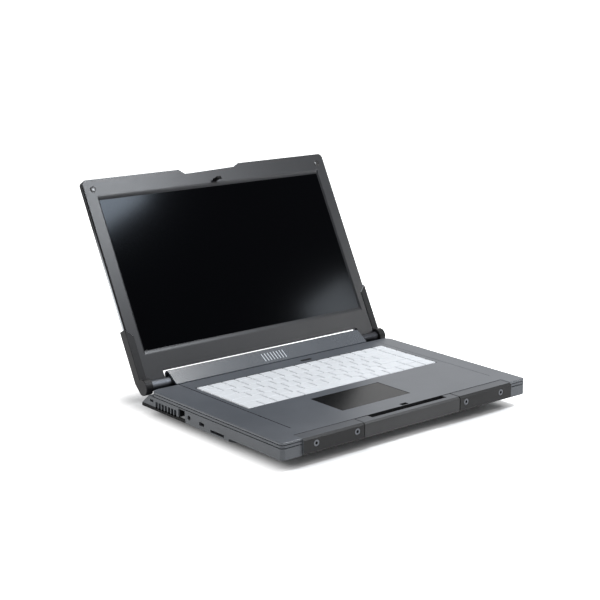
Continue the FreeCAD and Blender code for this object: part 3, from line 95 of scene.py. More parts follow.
def grained_finish(name, low, high, roughness, grain_mm, depth_mm, **shader_settings):
    """Sprayed or moulded surface: two near shades in a fine grain, with the grain as relief.

    Real grain is a tenth of a millimetre or finer, and it is drawn coarser so that it shows.
    """
    material, tree, shader, place = blank_material(name, **shader_settings)
    grain = add_node(tree, "ShaderNodeTexNoise", [(place, "Vector")],
                     Scale=1 / (grain_mm * MM), Detail=3.0).outputs["Fac"]
    cloud = add_node(tree, "ShaderNodeTexNoise", [(place, "Vector")],
                     Scale=1 / CLOUD_SIZE, Detail=2.0).outputs["Fac"]
    blend = add_node(tree, "ShaderNodeMath", [(grain, 0), (cloud, 1)], operation="MULTIPLY")
    tone = add_node(tree, "ShaderNodeMapRange", [(blend.outputs[0], "Value")],
                    From_Min=TONE_RANGE[0], From_Max=TONE_RANGE[1])
    shades = add_node(tree, "ShaderNodeMix", [(tone.outputs[0], "Factor")], data_type="RGBA")
    shades.inputs[COLOUR_A].default_value = linear(low)
    shades.inputs[COLOUR_B].default_value = linear(high)
    gloss = add_node(tree, "ShaderNodeMapRange", [(grain, "Value")],
                     From_Min=GRAIN_RANGE[0], From_Max=GRAIN_RANGE[1],
                     To_Min=roughness - GLOSS_SPREAD, To_Max=roughness + GLOSS_SPREAD)
    relief = add_node(tree, "ShaderNodeBump", [(grain, "Height")],
                      Strength=RELIEF_STRENGTH, Distance=depth_mm * MM)
    tree.links.new(shades.outputs[COLOUR_OUT], shader.inputs["Base Color"])
    tree.links.new(gloss.outputs[0], shader.inputs["Roughness"])
    tree.links.new(relief.outputs["Normal"], shader.inputs["Normal"])
    return material


def overpaint(material, colour, sheen, *limits):
    """Blend a finish to another colour and sheen, each axis from its first limit to its second."""
    tree = material.node_tree
    shader = tree.nodes["Principled BSDF"]
    place = add_node(tree, "ShaderNodeTexCoord").outputs["Object"]
    spot = add_node(tree, "ShaderNodeSeparateXYZ", [(place, 0)])
    share = None
    for axis, first, second in limits:
        step = add_node(tree, "ShaderNodeMapRange", [(spot.outputs[axis], "Value")],
                        From_Min=first, From_Max=second)
        if share is not None:
            step = add_node(tree, "ShaderNodeMath", [(share, 0), (step.outputs[0], 1)],
                            operation="MULTIPLY")
        share = step.outputs[0]
    coat = add_node(tree, "ShaderNodeMix", [(share, "Factor")], data_type="RGBA")
    tree.links.new(shader.inputs["Base Color"].links[0].from_socket, coat.inputs[COLOUR_A])
    coat.inputs[COLOUR_B].default_value = linear(colour)
    tree.links.new(coat.outputs[COLOUR_OUT], shader.inputs["Base Color"])
    plain = shader.inputs["Specular IOR Level"].default_value
    shine = add_node(tree, "ShaderNodeMapRange", [(share, "Value")], To_Min=plain, To_Max=sheen)
    tree.links.new(shine.outputs[0], shader.inputs["Specular IOR Level"])


def select_only(piece):
    """Make one object the only selected and the active one."""
    bpy.ops.object.select_all(action="DESELECT")
    piece.select_set(True)
    bpy.context.view_layer.objects.active = piece


def settle(piece, body, slot, material, *nodes):
    """Give a piece its material and body, and hide the nodes it stands for. The slot is not used."""
    piece.data.materials.clear()
    piece.data.materials.append(material)
    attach(piece, body)
    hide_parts(*nodes)


def finish_surface(piece):
    """Smooth the curved stretches and keep the broad faces flat."""
    bpy.ops.object.shade_smooth_by_angle(angle=SMOOTH_ANGLE)
    flat = piece.modifiers.new("flat_faces", "WEIGHTED_NORMAL")
    flat.keep_sharp = True
    flat.weight = FLAT_WEIGHT
    bpy.ops.object.modifier_apply(modifier=flat.name)


def softened(node, body, slot, material, edge_mm, segments=2):
    """A copy of a solid with its sharp edges broken, as casting, moulding and paint leave them."""
    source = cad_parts[node]
    piece = bpy.data.objects.new(node + "_finished", source.data.copy())
    bpy.context.collection.objects.link(piece)
    piece.matrix_world = source.matrix_world
    select_only(piece)
    bpy.ops.object.transform_apply(location=True, rotation=True, scale=True)
    bpy.ops.mesh.customdata_custom_splitnormals_clear()
    bpy.ops.object.mode_set(mode="EDIT")
    bpy.ops.mesh.select_all(action="SELECT")
    bpy.ops.mesh.remove_doubles(threshold=WELD_DISTANCE)
    bpy.ops.mesh.dissolve_limited(angle_limit=FLAT_ANGLE)
    bpy.ops.object.mode_set(mode="OBJECT")
    rounding = piece.modifiers.new("broken_edges", "BEVEL")
    rounding.width = edge_mm * MM
    rounding.segments = segments
    rounding.limit_method = "ANGLE"
    rounding.angle_limit = BREAK_ANGLE
    rounding.use_clamp_overlap = True
    bpy.ops.object.modifier_apply(modifier=rounding.name)
    finish_surface(piece)
    settle(piece, body, slot, material, node)
    return piece


def repaint(piece, material, test):
    """Give a second material to the faces whose centre and normal pass a test."""
    piece.data.materials.append(material)
    for face in piece.data.polygons:
        if test(face.center, face.normal):
            face.material_index = len(piece.data.materials) - 1


shell_paint = grained_finish("satin_grey_paint_and_shaded_edge", "#46494d", "#525559",
                             roughness=0.45, grain_mm=0.9, depth_mm=0.02, Specular_IOR_Level=0.3)
# The lower edge behind the network socket is painted black as shade under the wall.
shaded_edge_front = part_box("network_socket")[0][1]
overpaint(shell_paint, SHADE_BLACK, SHADE_SHEEN, ("Z", SHADED_EDGE_TOP + EDGE_BLUR, SHADED_EDGE_TOP),
          ("Y", shaded_edge_front - EDGE_BLUR, shaded_edge_front))
# Near-black: the network socket's black lining, and painted shade deep in gaps, grooves and sockets
black_lining_and_shade = grained_finish("black_lining_and_painted_shade", "#08080a", "#0d0d0f",
                            roughness=0.6, grain_mm=0.7, depth_mm=0.02, Specular_IOR_Level=0.2)
gap_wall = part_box("left_bumper")[1][1]
gap_reach = GAP_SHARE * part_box("handle_bar")[1][0]


def in_shaded_gap(centre, normal):
    """The wall behind the handle and the bumpers, painted black as shade in the gap."""
    return normal.y < -FACING and abs(centre.y - gap_wall) < GAP_DEPTH and abs(centre.x) < gap_reach


shell = softened("lower_shell", "base", "shell_paint", shell_paint, edge_mm=0.35)
# The shell's wall in the gap behind the handle is painted black as shade.
repaint(shell, black_lining_and_shade, in_shaded_gap)


# Middle band: the strip between tray and deck, the same light alloy and paint a shade darker.
# It is clamped between the two, and its set-back edges make the two shadow lines
# round the base.
band_paint = grained_finish("satin_band_paint", "#44474c", "#505358",
                            roughness=0.42, grain_mm=0.9, depth_mm=0.02, Specular_IOR_Level=0.3)
band = softened("mid_frame", "base", "band_paint", band_paint, edge_mm=0.2)
# The band's wall in the gap behind the handle is painted black as shade.
repaint(band, black_lining_and_shade, in_shaded_gap)


# Top deck: the painted light alloy plate round the keys and the touchpad.
# Its satin blue-grey paint is smooth enough to show the light as a broad sheen. The walls of its
# openings and its groove are painted black as shade. It is screwed to the band from inside.
DECK_RIM, DECK_END = 4 * MM, 1 * MM
DECK_SKIN, GROOVE_SKIN, UNDER_SKIN = 0.2 * MM, 0.8 * MM, 0.1 * MM
WALL_TILT = 0.5
deck_paint = grained_finish("satin_blue_grey_paint", "#42464c", "#4d5157",
                            roughness=0.34, grain_mm=0.7, depth_mm=0.015)
deck = softened("top_deck", "base", "case_paint", deck_paint, edge_mm=0.25)
deck_low, deck_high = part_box("top_deck")


def in_shaded_deck_gap(centre, normal):
    """The walls of the openings and the groove floor left of the keys, painted black as shade."""
    within_sides = abs(centre.x) < deck_high[0] - DECK_RIM
    within_ends = gap_wall - DECK_END < centre.y < deck_high[1] - DECK_END
    sunk = deck_low[2] + UNDER_SKIN < centre.z < deck_high[2] - DECK_SKIN
    wall_or_floor = normal.z < WALL_TILT or centre.z < deck_high[2] - GROOVE_SKIN
    return within_sides and within_ends and sunk and wall_or_floor


repaint(deck, black_lining_and_shade, in_shaded_deck_gap)


# Hinge cover: a folded strip of light alloy over the hinges and the display cables.
# Its paint is glossier than the deck's, so its long slope takes the light, and it is
# screwed on from inside.
cover_paint = grained_finish("satin_silver_grey_paint", "#383d44", "#42474e",
                             roughness=0.27, grain_mm=0.5, depth_mm=0.01)
softened("hinge_cover", "base", "cover_paint", cover_paint, edge_mm=0.5)


# Status lights: a row of moulded clear windows let into the slope of the cover.
# They are frosted acrylic over small lamps, pale when they are off. The frosting is drawn
# coarser than it is, so that it shows.
HAZE_SIZE = 2 * MM
lamp_window, tree, shader, place = blank_material("frosted_acrylic", Roughness=0.3, IOR=1.49)
haze = add_node(tree, "ShaderNodeTexNoise", [(place, "Vector")], Scale=1 / HAZE_SIZE, Detail=2.0)
frost = add_node(tree, "ShaderNodeValToRGB", [(haze.outputs["Fac"], "Fac")])
frost.color_ramp.elements[0].color = linear("#9aa1aa")
frost.color_ramp.elements[1].color = linear("#c3c9d1")
tree.links.new(frost.outputs["Color"], shader.inputs["Base Color"])
softened("status_lights", "base", "light_window", lamp_window, edge_mm=0.15)


# Front bumpers and carrying handle: tough moulded nylon with a fine spark-eroded grain.
# The bumpers are held by two screws each, and the handle bar is fixed to its sliding arms.
# Their tops are painted lighter as a painted sheen, and the bumpers' outer ends like the shell.
LEVEL, SIDEWAYS = 0.9, 0.6
bumper_nylon = grained_finish("moulded_dark_nylon", "#111112", "#181819",
                              roughness=0.45, grain_mm=0.6, depth_mm=0.03, Specular_IOR_Level=0.18)
top_sheen_paint = grained_finish("painted_top_sheen", "#393c41", "#43464b",
                              roughness=0.4, grain_mm=0.7, depth_mm=0.015, Specular_IOR_Level=0.4)
handle_nylon = grained_finish("moulded_grey_nylon", "#232324", "#2b2b2c",
                              roughness=0.45, grain_mm=0.6, depth_mm=0.03, Specular_IOR_Level=0.25)


def faces_up(centre, normal):
    """The level top of a piece."""
    return normal.z > LEVEL


for name, outward in (("left_bumper", -1), ("right_bumper", 1)):
    bumper = softened(name, "base", "bumper_plastic", bumper_nylon, edge_mm=0.3, segments=3)
    # The bumper's top gets the lighter painted sheen.
    repaint(bumper, top_sheen_paint, faces_up)
    repaint(bumper, shell_paint, lambda centre, normal: normal.x * outward > SIDEWAYS)
bar = softened("handle_bar", "handle", "handle_plastic", handle_nylon, edge_mm=0.5, segments=3)
# The bar's back face, in the gap, is painted black as shade.
repaint(bar, black_lining_and_shade, lambda centre, normal: normal.y > FACING)
# The bar's top gets the same painted sheen.
repaint(bar, top_sheen_paint, faces_up)


# Feet: black silicone rubber discs, moulded and glued into shallow seats under the tray.
# Rubber has no sheen and takes up a little dust.
rubber = grained_finish("black_silicone_rubber", "#161616", "#1f1f20",
                        roughness=0.75, grain_mm=0.8, depth_mm=0.03)
softened("feet", "base", "foot_rubber", rubber, edge_mm=1.0, segments=3)


# Battery slab: a pack in a moulded case of dark plastic under the front of the tray.
# Its grain keeps it dull, the mould leaves its edges a little round, and two catches hold it.
battery_shell = grained_finish("moulded_battery_plastic", "#2b2c2f", "#343539",
                               roughness=0.5, grain_mm=0.7, depth_mm=0.03)
softened("battery_pack", "base", "battery_plastic", battery_shell, edge_mm=0.6)


# Hinge barrels and bumper screws: turned steel, satin on the barrels and zinc plated on the screws.
# The right barrel is painted darker as shade. Turning lines, drawn wider than they are, run round
# the left barrel. The barrels are bolted to posts of the tray, and the screws hold the bumpers.
LINE_WIDTH, LINE_LENGTH = 0.5 * MM, 6 * MM
SCREW_PLACES = (86.5 * MM, 146.2 * MM)
SCREW_HEIGHT, SOCKET_RADIUS, SOCKET_DEPTH = 27.4 * MM, 1.95 * MM, 0.25 * MM
socket_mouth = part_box("bumper_screws")[0][1] + SOCKET_DEPTH


def in_shaded_socket(centre, normal):
    """The inside of a screw's drive socket, behind the ring of its face, painted black as shade."""
    off_axis = min(math.hypot(abs(centre.x) - x, centre.z - SCREW_HEIGHT) for x in SCREW_PLACES)
    return off_axis < SOCKET_RADIUS and centre.y > socket_mouth


satin_metal, tree, shader, place = blank_material("satin_turned_steel", Metallic=1.0)
rings = add_node(tree, "ShaderNodeMapping", [(place, "Vector")])
rings.inputs["Scale"].default_value = 1 / LINE_WIDTH, 1 / LINE_LENGTH, 1 / LINE_LENGTH
lines = add_node(tree, "ShaderNodeTexNoise", [(rings.outputs[0], "Vector")],
                 Scale=1.0, Detail=2.0).outputs["Fac"]
steel_tone = add_node(tree, "ShaderNodeValToRGB", [(lines, "Fac")])
steel_tone.color_ramp.elements[0].color = linear("#484a4e")
steel_tone.color_ramp.elements[1].color = linear("#5a5d62")
steel_gloss = add_node(tree, "ShaderNodeMapRange", [(lines, "Value")], To_Min=0.42, To_Max=0.58)
tree.links.new(steel_tone.outputs["Color"], shader.inputs["Base Color"])
tree.links.new(steel_gloss.outputs[0], shader.inputs["Roughness"])
softened("left_hinge_barrel", "base", "hinge_metal", satin_metal, edge_mm=0.4)
# The right barrel's steel is painted darker, as painted shade.
shaded_barrel_steel = grained_finish("darker_barrel_steel_as_shade", "#2c2d31", "#37383c",
                             roughness=0.4, grain_mm=0.6, depth_mm=0.01, Metallic=0.9)
softened("right_hinge_barrel", "base", "hinge_metal", shaded_barrel_steel, edge_mm=0.4)
screw_steel = grained_finish("grey_zinc_plate", "#505256", "#5c5e62",
                             roughness=0.4, grain_mm=0.6, depth_mm=0.01, Metallic=0.9)
screws = softened("bumper_screws", "base", "screw_steel", screw_steel, edge_mm=0.2)
# The screws' drive sockets are painted black as shade.
repaint(screws, black_lining_and_shade, in_shaded_socket)


# Lid back shell: a light alloy casting, hollow behind the panel, in silver paint with a soft metal
# sheen. Its rounded sides have a painted silver reflection below and painted black shade above.
# The frame and the bezel are screwed into it.
# Heights where the painted silver reflection ends and the painted black shade is full
SILVER_TOP, BLACK_START = 150 * MM, 215 * MM
LID_SIDE_DEPTH, ROUNDED_SIDE = 1.5 * MM, 0.5
lid_silver = grained_finish("silver_paint", "#82868b", "#888c91",
                            roughness=0.34, grain_mm=0.6, depth_mm=0.01, Metallic=0.4)
# Bright silver painted as reflection, turning into black painted shade higher up the lid
painted_silver_light_and_shade = grained_finish("silver_rim_light_and_shade", "#a4a7ab", "#b0b3b7",
                             roughness=0.3, grain_mm=0.6, depth_mm=0.01, Metallic=0.8)
overpaint(painted_silver_light_and_shade, SHADE_BLACK, SHADE_SHEEN, ("Z", SILVER_TOP, BLACK_START))
lid_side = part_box("lid_shell")[1][0] - LID_SIDE_DEPTH


def on_lid_side(centre, normal):
    """The rounded left and right sides of the lid's back."""
    return abs(normal.x) > ROUNDED_SIDE and abs(centre.x) > lid_side


lid_back = softened("lid_shell", "lid", "lid_silver", lid_silver, edge_mm=0.4)
repaint(lid_back, painted_silver_light_and_shade, on_lid_side)


# Lid frame and latch hook: black moulded plastic. The frame holds the panel, and its black is
# painted shade, seen as a dark line along the lid's edge.
# The hook slides in the frame's upper edge.
black_plastic_and_side_shade = grained_finish("black_moulded_plastic_and_side_shade", "#060607", "#0b0b0c",
                             roughness=0.6, grain_mm=0.7, depth_mm=0.02, Specular_IOR_Level=0.08)
softened("lid_frame", "lid", "lid_black", black_plastic_and_side_shade, edge_mm=0.25)
softened("latch_hook", "latch", "hinge_metal", black_plastic_and_side_shade, edge_mm=0.2)


# Bezel: the light alloy frame round the screen, with a bevel down to the glass. Its dark satin
# paint takes a soft light, and its two outer sides are painted black as shade.
# It is screwed to the lid's back shell.
BEZEL_SIDE_DEPTH = 1.0 * MM
bezel_paint = grained_finish("satin_bezel_paint", "#191a1d", "#202124",
                             roughness=0.33, grain_mm=0.8, depth_mm=0.008, Specular_IOR_Level=0.245)
bezel_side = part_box("lid_bezel")[1][0] - BEZEL_SIDE_DEPTH


def on_bezel_side(centre, normal):
    """The outer left and right sides of the bezel."""
    return abs(normal.x) > SIDEWAYS and abs(centre.x) > bezel_side


bezel = softened("lid_bezel", "lid", "bezel_paint", bezel_paint, edge_mm=0.35)
# The bezel's outer sides are painted black as shade.
repaint(bezel, black_plastic_and_side_shade, on_bezel_side)


# Lid stops: two low domes of hard black rubber at the bezel's upper corners, polished so that
# each catches a small spot of light. One dome is shaped from a half sphere, tilted to the lid,
# and copied to both corners.
LID_LEAN = math.radians(62.2)
STOP_RADIUS, STOP_HEIGHT, STOP_SIDE = 4.6 * MM, 0.6 * MM, 179.6 * MM


def select_faces(piece, test):
    """Select the faces that pass a test on their centre and normal."""
    bpy.ops.mesh.select_all(action="DESELECT")
    bpy.ops.object.mode_set(mode="OBJECT")
    for face in piece.data.polygons:
        face.select = test(face.center, face.normal)
    bpy.ops.object.mode_set(mode="EDIT")


def placed_copy(model, name, shift):
    """A copy of a shaped piece with its own mesh, moved in its mesh."""
    copy = bpy.data.objects.new(name, model.data.copy())
    copy.data.transform(Matrix.Translation(shift))
    bpy.context.collection.objects.link(copy)
    return copy


stop_rubber = grained_finish("polished_black_rubber", "#0a0a0b", "#101011",
                             roughness=0.28, grain_mm=0.8, depth_mm=0.0, Specular_IOR_Level=0.35)
bpy.ops.object.select_all(action="DESELECT")
bpy.ops.mesh.primitive_uv_sphere_add(segments=32, ring_count=16, radius=STOP_RADIUS)
dome = bpy.context.object
bpy.ops.object.mode_set(mode="EDIT")
select_faces(dome, lambda centre, normal: centre.z < 0)
bpy.ops.mesh.delete(type="FACE")
bpy.ops.object.mode_set(mode="OBJECT")
dome.scale.z = STOP_HEIGHT / STOP_RADIUS
bpy.ops.object.transform_apply(location=True, rotation=True, scale=True)
dome.rotation_euler.x = LID_LEAN
bpy.ops.object.transform_apply(location=True, rotation=True, scale=True)
bpy.ops.object.shade_smooth()
stop_low, stop_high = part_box("lid_stops")
seat_y = (stop_low[1] + stop_high[1]) / 2 + math.sin(LID_LEAN) * STOP_HEIGHT / 2
seat_z = (stop_low[2] + stop_high[2]) / 2 - math.cos(LID_LEAN) * STOP_HEIGHT / 2
stops = [placed_copy(dome, "lid_stop_domes", (x, seat_y, seat_z)) for x in (-STOP_SIDE, STOP_SIDE)]
bpy.data.objects.remove(dome)
select_only(stops[0])
stops[1].select_set(True)
bpy.ops.object.join()
settle(stops[0], "lid", "foot_rubber", stop_rubber, "lid_stops")


# Lid arms: near-black moulded pieces that wrap the lid's lower corners and carry the hinge pins.
# Their grain leaves a dull sheen; the slanted upper end of each arm has a painted silver highlight.
TIP_LENGTH, SLANT = 12 * MM, 0.4
arm_plastic = grained_finish("black_grained_plastic", "#101012", "#161618",
                             roughness=0.42, grain_mm=0.6, depth_mm=0.03, Specular_IOR_Level=0.16)
arm_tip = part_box("left_lid_arm")[1][2] - TIP_LENGTH


def on_arm_tip(centre, normal):
    """The slanted upper end of an arm."""
    return centre.z > arm_tip and normal.z > SLANT and abs(normal.x) > SLANT


for name in ("left_lid_arm", "right_lid_arm"):
    arm = softened(name, "lid", "arm_rubber", arm_plastic, edge_mm=0.7, segments=3)
    # The arm's slanted end gets the painted silver highlight.
    repaint(arm, painted_silver_light_and_shade, on_arm_tip)


# Display panel: a switched-off flat panel with a coated face, held in the lid's frame.
# The coating scatters the light a little and takes most of the reflection away. Its speckle is
# drawn coarser than it is.
SPECKLE_SIZE = 0.6 * MM
screen_glass, tree, shader, place = blank_material(
    "coated_display_glass", Roughness=0.1, Specular_IOR_Level=0.02, Specular_Tint=linear("#e2f0ff"))
speckle = add_node(tree, "ShaderNodeTexNoise", [(place, "Vector")], Scale=1 / SPECKLE_SIZE, Detail=1.0)
dark = add_node(tree, "ShaderNodeValToRGB", [(speckle.outputs["Fac"], "Fac")])
dark.color_ramp.elements[0].color = linear("#010102")
dark.color_ramp.elements[1].color = linear("#020203")
tree.links.new(dark.outputs["Color"], shader.inputs["Base Color"])
softened("display_panel", "lid", "screen_face", screen_glass, edge_mm=0.2)


# Keys: light grey moulded caps with sloped shoulders and a shallow dish, each on a guide stem.
# Their matt grain spreads the light. One cap of each width is shaped and copied along its row.
KEY_UNIT, KEY_GAP, CAP_HEIGHT = 18.94 * MM, 0.7 * MM, 2.6 * MM
STEM, STEM_RELIEF = 3.4 * MM, 0.4 * MM
SKIRT_SHARE = 0.45
SHOULDER, RIM, DISH, CAP_EDGE = 0.9 * MM, 1.2 * MM, 0.12 * MM, 0.3 * MM
CAP_ANGLE = math.radians(12)
# Widths of the caps in each row from the left, in key units
KEY_ROWS = {
    "bottom_row_keys": [1.25, 1, 1, 1.25, 5.25, 1, 1, 1.25, 1, 1, 1],
    "lower_row_keys": [2.25] + [1] * 10 + [1.75, 1, 1],
    "home_row_keys": [1.75] + [1] * 11 + [2.25, 1],
    "upper_row_keys": [1.5] + [1] * 12 + [1.5, 1],
    "number_row_keys": [1] * 13 + [2, 1],
    "function_row_keys": [1] * 16,
}
# Caps that move by themselves, by row and place in it
SINGLE_KEYS = {
    ("bottom_row_keys", 4): "space_bar",
    ("lower_row_keys", 0): "left_shift_key",
    ("home_row_keys", 12): "enter_key",
    ("number_row_keys", 13): "backspace_key",
}
key_plastic = grained_finish("light_grey_key_plastic", "#bcbfc3", "#c6c9cd",
                             roughness=0.5, grain_mm=0.5, depth_mm=0.01)


def key_cap(name, width, depth, base, top, stem_end):
    """One cap about the origin in plan, between two heights, with its stem below."""
    skirt = base + (top - base) * SKIRT_SHARE
    bpy.ops.object.select_all(action="DESELECT")
    bpy.ops.mesh.primitive_cube_add(size=1, location=(0, 0, (base + skirt) / 2))
    cap = bpy.context.object
    cap.name = name
    cap.scale = width, depth, skirt - base
    bpy.ops.object.transform_apply(location=True, rotation=True, scale=True)
    bpy.ops.object.mode_set(mode="EDIT")
    select_faces(cap, faces_up)
    bpy.ops.mesh.inset(thickness=SHOULDER, depth=top - skirt)
    bpy.ops.mesh.inset(thickness=RIM, depth=-DISH)
    select_faces(cap, lambda centre, normal: normal.z < -LEVEL)
    bpy.ops.mesh.inset(thickness=(min(width, depth) - STEM) / 2)
    bpy.ops.mesh.extrude_region_move(TRANSFORM_OT_translate={"value": (0, 0, stem_end - base)})
    bpy.ops.object.mode_set(mode="OBJECT")
    rounding = cap.modifiers.new("moulded_edges", "BEVEL")
    rounding.width = CAP_EDGE
    rounding.segments = 2
    rounding.angle_limit = CAP_ANGLE
    bpy.ops.object.modifier_apply(modifier=rounding.name)
    finish_surface(cap)
    return cap


keys_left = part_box("function_row_keys")[0][0] - KEY_GAP / 2
cap_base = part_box("space_bar")[1][2] - CAP_HEIGHT
for row, units in KEY_ROWS.items():
    low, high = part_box(row)
    depth = high[1] - low[1]
    stem_end = low[2] + STEM_RELIEF
    shapes = {}
    made = {}
    x = keys_left
    for index, count in enumerate(units):
        if count not in shapes:
            width = count * KEY_UNIT - KEY_GAP
            shape_name = f"cap_{row}_{len(shapes)}"
            shapes[count] = key_cap(shape_name, width, depth, cap_base, high[2], stem_end)
        node = SINGLE_KEYS.get((row, index), row)
        centre = x + count * KEY_UNIT / 2, (low[1] + high[1]) / 2, 0
        made.setdefault(node, []).append(placed_copy(shapes[count], f"{node}_{index}", centre))
        x += count * KEY_UNIT
    for shape in shapes.values():
        bpy.data.objects.remove(shape)
    for node, caps in made.items():
        select_only(caps[0])
        for cap in caps:
            cap.select_set(True)
        if len(caps) > 1:
            bpy.ops.object.join()
        caps[0].name = node + "_caps"
        settle(caps[0], node, "key_plastic", key_plastic, node)


# Touchpad: a slab of polycarbonate in the deck, coated nearly black and fairly smooth.
# It rests on a ledge along its rear edge and clicks down at the front.
pad_surface = grained_finish("coated_touchpad", "#0c0d0e", "#111214",
                             roughness=0.22, grain_mm=0.5, depth_mm=0.01, Specular_IOR_Level=0.15)
softened("touchpad", "touchpad", "touchpad_glass", pad_surface, edge_mm=0.25)


# Power button: a dark moulded oval behind the keys, with a fine grain.
# It stands a little proud of the deck and slides in a cup below it.
button_plastic = grained_finish("dark_button_plastic", "#0f1011", "#161718",
                                roughness=0.45, grain_mm=0.5, depth_mm=0.01, Specular_IOR_Level=0.2)
softened("power_button", "power_button", "button_plastic", button_plastic, edge_mm=0.3)


# Network socket: a stamped can behind the left wall with a black moulded lining.
# Its floor contacts are tin, painted near white as a highlight. It is soldered to the main board.
tin_and_painted_glint = grained_finish("tin_plate_and_painted_glint", "#dcdee0", "#e6e8ea",
                            roughness=0.3, grain_mm=0.8, depth_mm=0.01)
socket = softened("network_socket", "base", "socket_metal", black_lining_and_shade, edge_mm=0.1)
socket_low, socket_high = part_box("network_socket")
socket_middle = (socket_low[2] + socket_high[2]) / 2
repaint(socket, tin_and_painted_glint, lambda centre, normal: normal.z > FACING and centre.z < socket_middle)


# Pieces inside the base and the handle's arms: they are seen only through the openings or
# with the handle out, so the solids stay as they are and only get their finishes:
# black plastic, tin plate, solder mask, copper, aluminium and the keys' plastic.
inner_black = grained_finish("black_inner_plastic", "#141415", "#1c1c1e",
                             roughness=0.55, grain_mm=0.8, depth_mm=0.02)
socket_steel = grained_finish("stamped_tin_plate", "#77797c", "#87898c",
                              roughness=0.4, grain_mm=0.8, depth_mm=0.01, Metallic=0.9)
board_green = grained_finish("green_solder_mask", "#16402a", "#1d4d34",
                             roughness=0.35, grain_mm=1.5, depth_mm=0.02)
copper = grained_finish("plain_copper", "#a5653f", "#b5744c",
                        roughness=0.32, grain_mm=0.8, depth_mm=0.01, Metallic=1.0)
fin_aluminium = grained_finish("rolled_aluminium", "#4a4c4f", "#56585b",
                               roughness=0.45, grain_mm=0.8, depth_mm=0.01, Metallic=1.0)
INNER = {
    key_plastic: ["keyboard_tray"],
    inner_black: ["fan_housing", "fan_rotor", "speakers", "audio_jack", "power_inlet",
                  "handle_guides", "touchpad_bracket", "power_switch", "processor"],
    socket_steel: ["side_port", "card_reader", "lock_plate", "latch_strike", "drive_caddy",
                   "clock_cell", "hinge_pins", "handle_arms", "base_screws"],
    board_green: ["mainboard", "memory_modules", "wireless_card"],
    copper: ["heat_block", "heat_pipe"],
    fin_aluminium: ["fin_stack", "solid_state_drive"],
}
for material, names in INNER.items():
    for name in names:
        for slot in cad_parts[name].material_slots:
            slot.material = material


# Floor and light: a pale floor before a white backdrop, glowing white as painted light except round
# the object's footprint, where the glow fades out and its shadow is left. A small soft key stands
# in front on the right with a weaker one beside it, one lamp is overhead and a broad weak fill
# stands on the left.
FLOOR_SIZE = 30
SHADOW_CENTRE, SHADOW_HALF, NOTHING = (0, -0.026, 0), (0.160, 0.151, 0), (0, 0, 0)
SHADOW_FADE, FLOOR_LIFT = 0.054, 0.88
AMBIENT_LOW, AMBIENT_HIGH, AMBIENT_RISE = 0.1, 0.65, 0.4
WHITE = linear("#ffffff")
# Name, place, target, size in metres, watts and colour of each lamp
LAMPS = (
    ("key_softbox", (0.637, -0.773, 1.227), (-0.1, 0.1, 0.15), 0.18, 13, "#f4f9ff"),
    ("side_softbox", (1.302, -1.036, 0.927), (0.1, 0.1, 0.1), 0.14, 2.7, "#ffffff"),
    ("top_softbox", (0.50, 0.17, 1.45), (0, 0, 0.1), 0.25, 9, "#ffffff"),
    ("fill_softbox", (-1.5, 0.1, 1.3), (0, 0, 0.1), 1.2, 8, "#ffffff"),
)


def seen_directly(tree):
    """1 for a ray from the camera, off a glossy face or through a clear one, else 0."""
    rays = add_node(tree, "ShaderNodeLightPath")
    seen = add_node(tree, "ShaderNodeMath", operation="MAXIMUM",
                    links=[(rays.outputs["Is Camera Ray"], 0), (rays.outputs["Is Glossy Ray"], 1)])
    seen = add_node(tree, "ShaderNodeMath", operation="MAXIMUM",
                    links=[(seen.outputs[0], 0), (rays.outputs["Is Transmission Ray"], 1)])
    return seen.outputs[0]


def soft_lamp(name, place, target, size, watts, colour):
    """A square softbox at a place, turned to a target."""
    bpy.ops.object.light_add(type="AREA", location=place)
    lamp = bpy.context.object
    lamp.name = name
    lamp.data.shape = "SQUARE"
    lamp.data.size = size
    lamp.data.energy = watts
    lamp.data.color = linear(colour)[:3]
    lamp.rotation_euler = (Vector(target) - Vector(place)).to_track_quat("-Z", "Y").to_euler()


bpy.ops.object.select_all(action="DESELECT")
bpy.ops.mesh.primitive_plane_add(size=FLOOR_SIZE, location=(0, 0, 0))
floor = bpy.context.object
floor.name = "floor"
floor_white, tree, shader, place = blank_material("pale_floor", Roughness=0.9, Specular_IOR_Level=0.1)
shader.inputs["Base Color"].default_value = linear("#f2f2f2")
# The floor's white glow, seen by the camera and in reflections, fades out round the footprint.
spot = place
for operation, value in (("SUBTRACT", SHADOW_CENTRE), ("ABSOLUTE", NOTHING),
                         ("SUBTRACT", SHADOW_HALF), ("MAXIMUM", NOTHING)):
    step = add_node(tree, "ShaderNodeVectorMath", [(spot, 0)], operation=operation)
    step.inputs[1].default_value = value
    spot = step.outputs[0]
distance = add_node(tree, "ShaderNodeVectorMath", [(spot, 0)], operation="LENGTH")
fade = add_node(tree, "ShaderNodeMapRange", [(distance.outputs["Value"], "Value")],
                interpolation_type="SMOOTHSTEP", From_Max=SHADOW_FADE, To_Max=FLOOR_LIFT)
lift = add_node(tree, "ShaderNodeMath", [(seen_directly(tree), 0), (fade.outputs[0], 1)],
                operation="MULTIPLY")
shader.inputs["Emission Color"].default_value = WHITE
tree.links.new(lift.outputs[0], shader.inputs["Emission Strength"])
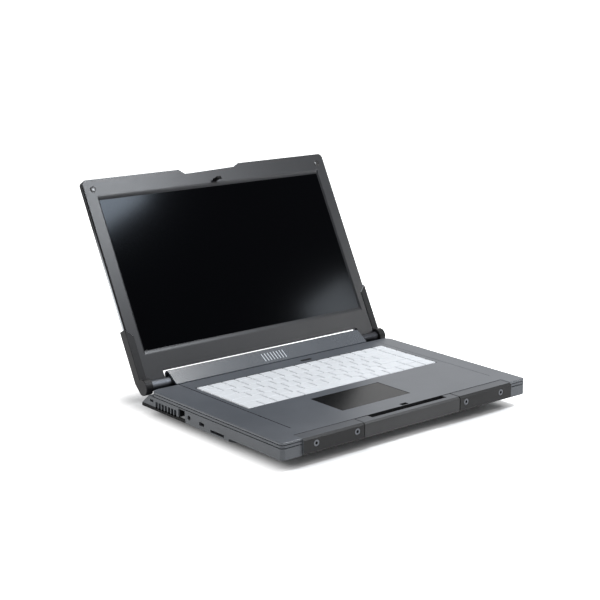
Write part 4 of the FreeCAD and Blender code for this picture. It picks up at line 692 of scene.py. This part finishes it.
floor.data.materials.append(floor_white)

world = bpy.data.worlds.new("studio")
bpy.context.scene.world = world
world.use_nodes = True
tree = world.node_tree
tree.nodes.clear()
heading = add_node(tree, "ShaderNodeTexCoord")
height = add_node(tree, "ShaderNodeSeparateXYZ", [(heading.outputs["Generated"], 0)])
glow = add_node(tree, "ShaderNodeMapRange", [(height.outputs["Z"], "Value")],
                From_Max=AMBIENT_RISE, To_Min=AMBIENT_LOW, To_Max=AMBIENT_HIGH)
ambient = add_node(tree, "ShaderNodeBackground", [(glow.outputs[0], "Strength")], Color=WHITE)
backdrop = add_node(tree, "ShaderNodeBackground", Color=WHITE, Strength=1.0)
mixed = add_node(tree, "ShaderNodeMixShader",
                 [(seen_directly(tree), 0), (ambient.outputs[0], 1), (backdrop.outputs[0], 2)])
add_node(tree, "ShaderNodeOutputWorld", [(mixed.outputs[0], "Surface")])

for lamp in LAMPS:
    soft_lamp(*lamp)


# Camera: it stands where the photograph was taken from, in front on the left, a little
# above the deck. Its place and lens were worked out from the case's corners.
CAMERA_PLACE = (-1.1176, -1.3608, 0.5533)
AZIMUTH, ELEVATION, ROLL = math.radians(-40.652), math.radians(14.801), math.radians(0.273)
FOCAL_PIXELS, FRAME_PIXELS, SENSOR_WIDTH = 1462.71, 600, 36
PRINCIPAL_POINT = (333.79, 331.05)
bpy.ops.object.camera_add()
camera = bpy.context.object
turn = Matrix.Rotation(AZIMUTH, 4, "Z") @ Matrix.Rotation(math.radians(90) - ELEVATION, 4, "X")
camera.matrix_world = Matrix.Translation(CAMERA_PLACE) @ turn @ Matrix.Rotation(ROLL, 4, "Z")
camera.data.sensor_width = SENSOR_WIDTH
camera.data.lens = FOCAL_PIXELS / FRAME_PIXELS * SENSOR_WIDTH
camera.data.shift_x = 0.5 - PRINCIPAL_POINT[0] / FRAME_PIXELS
camera.data.shift_y = PRINCIPAL_POINT[1] / FRAME_PIXELS - 0.5
bpy.context.scene.camera = camera
bpy.context.scene.view_settings.view_transform = "Standard"
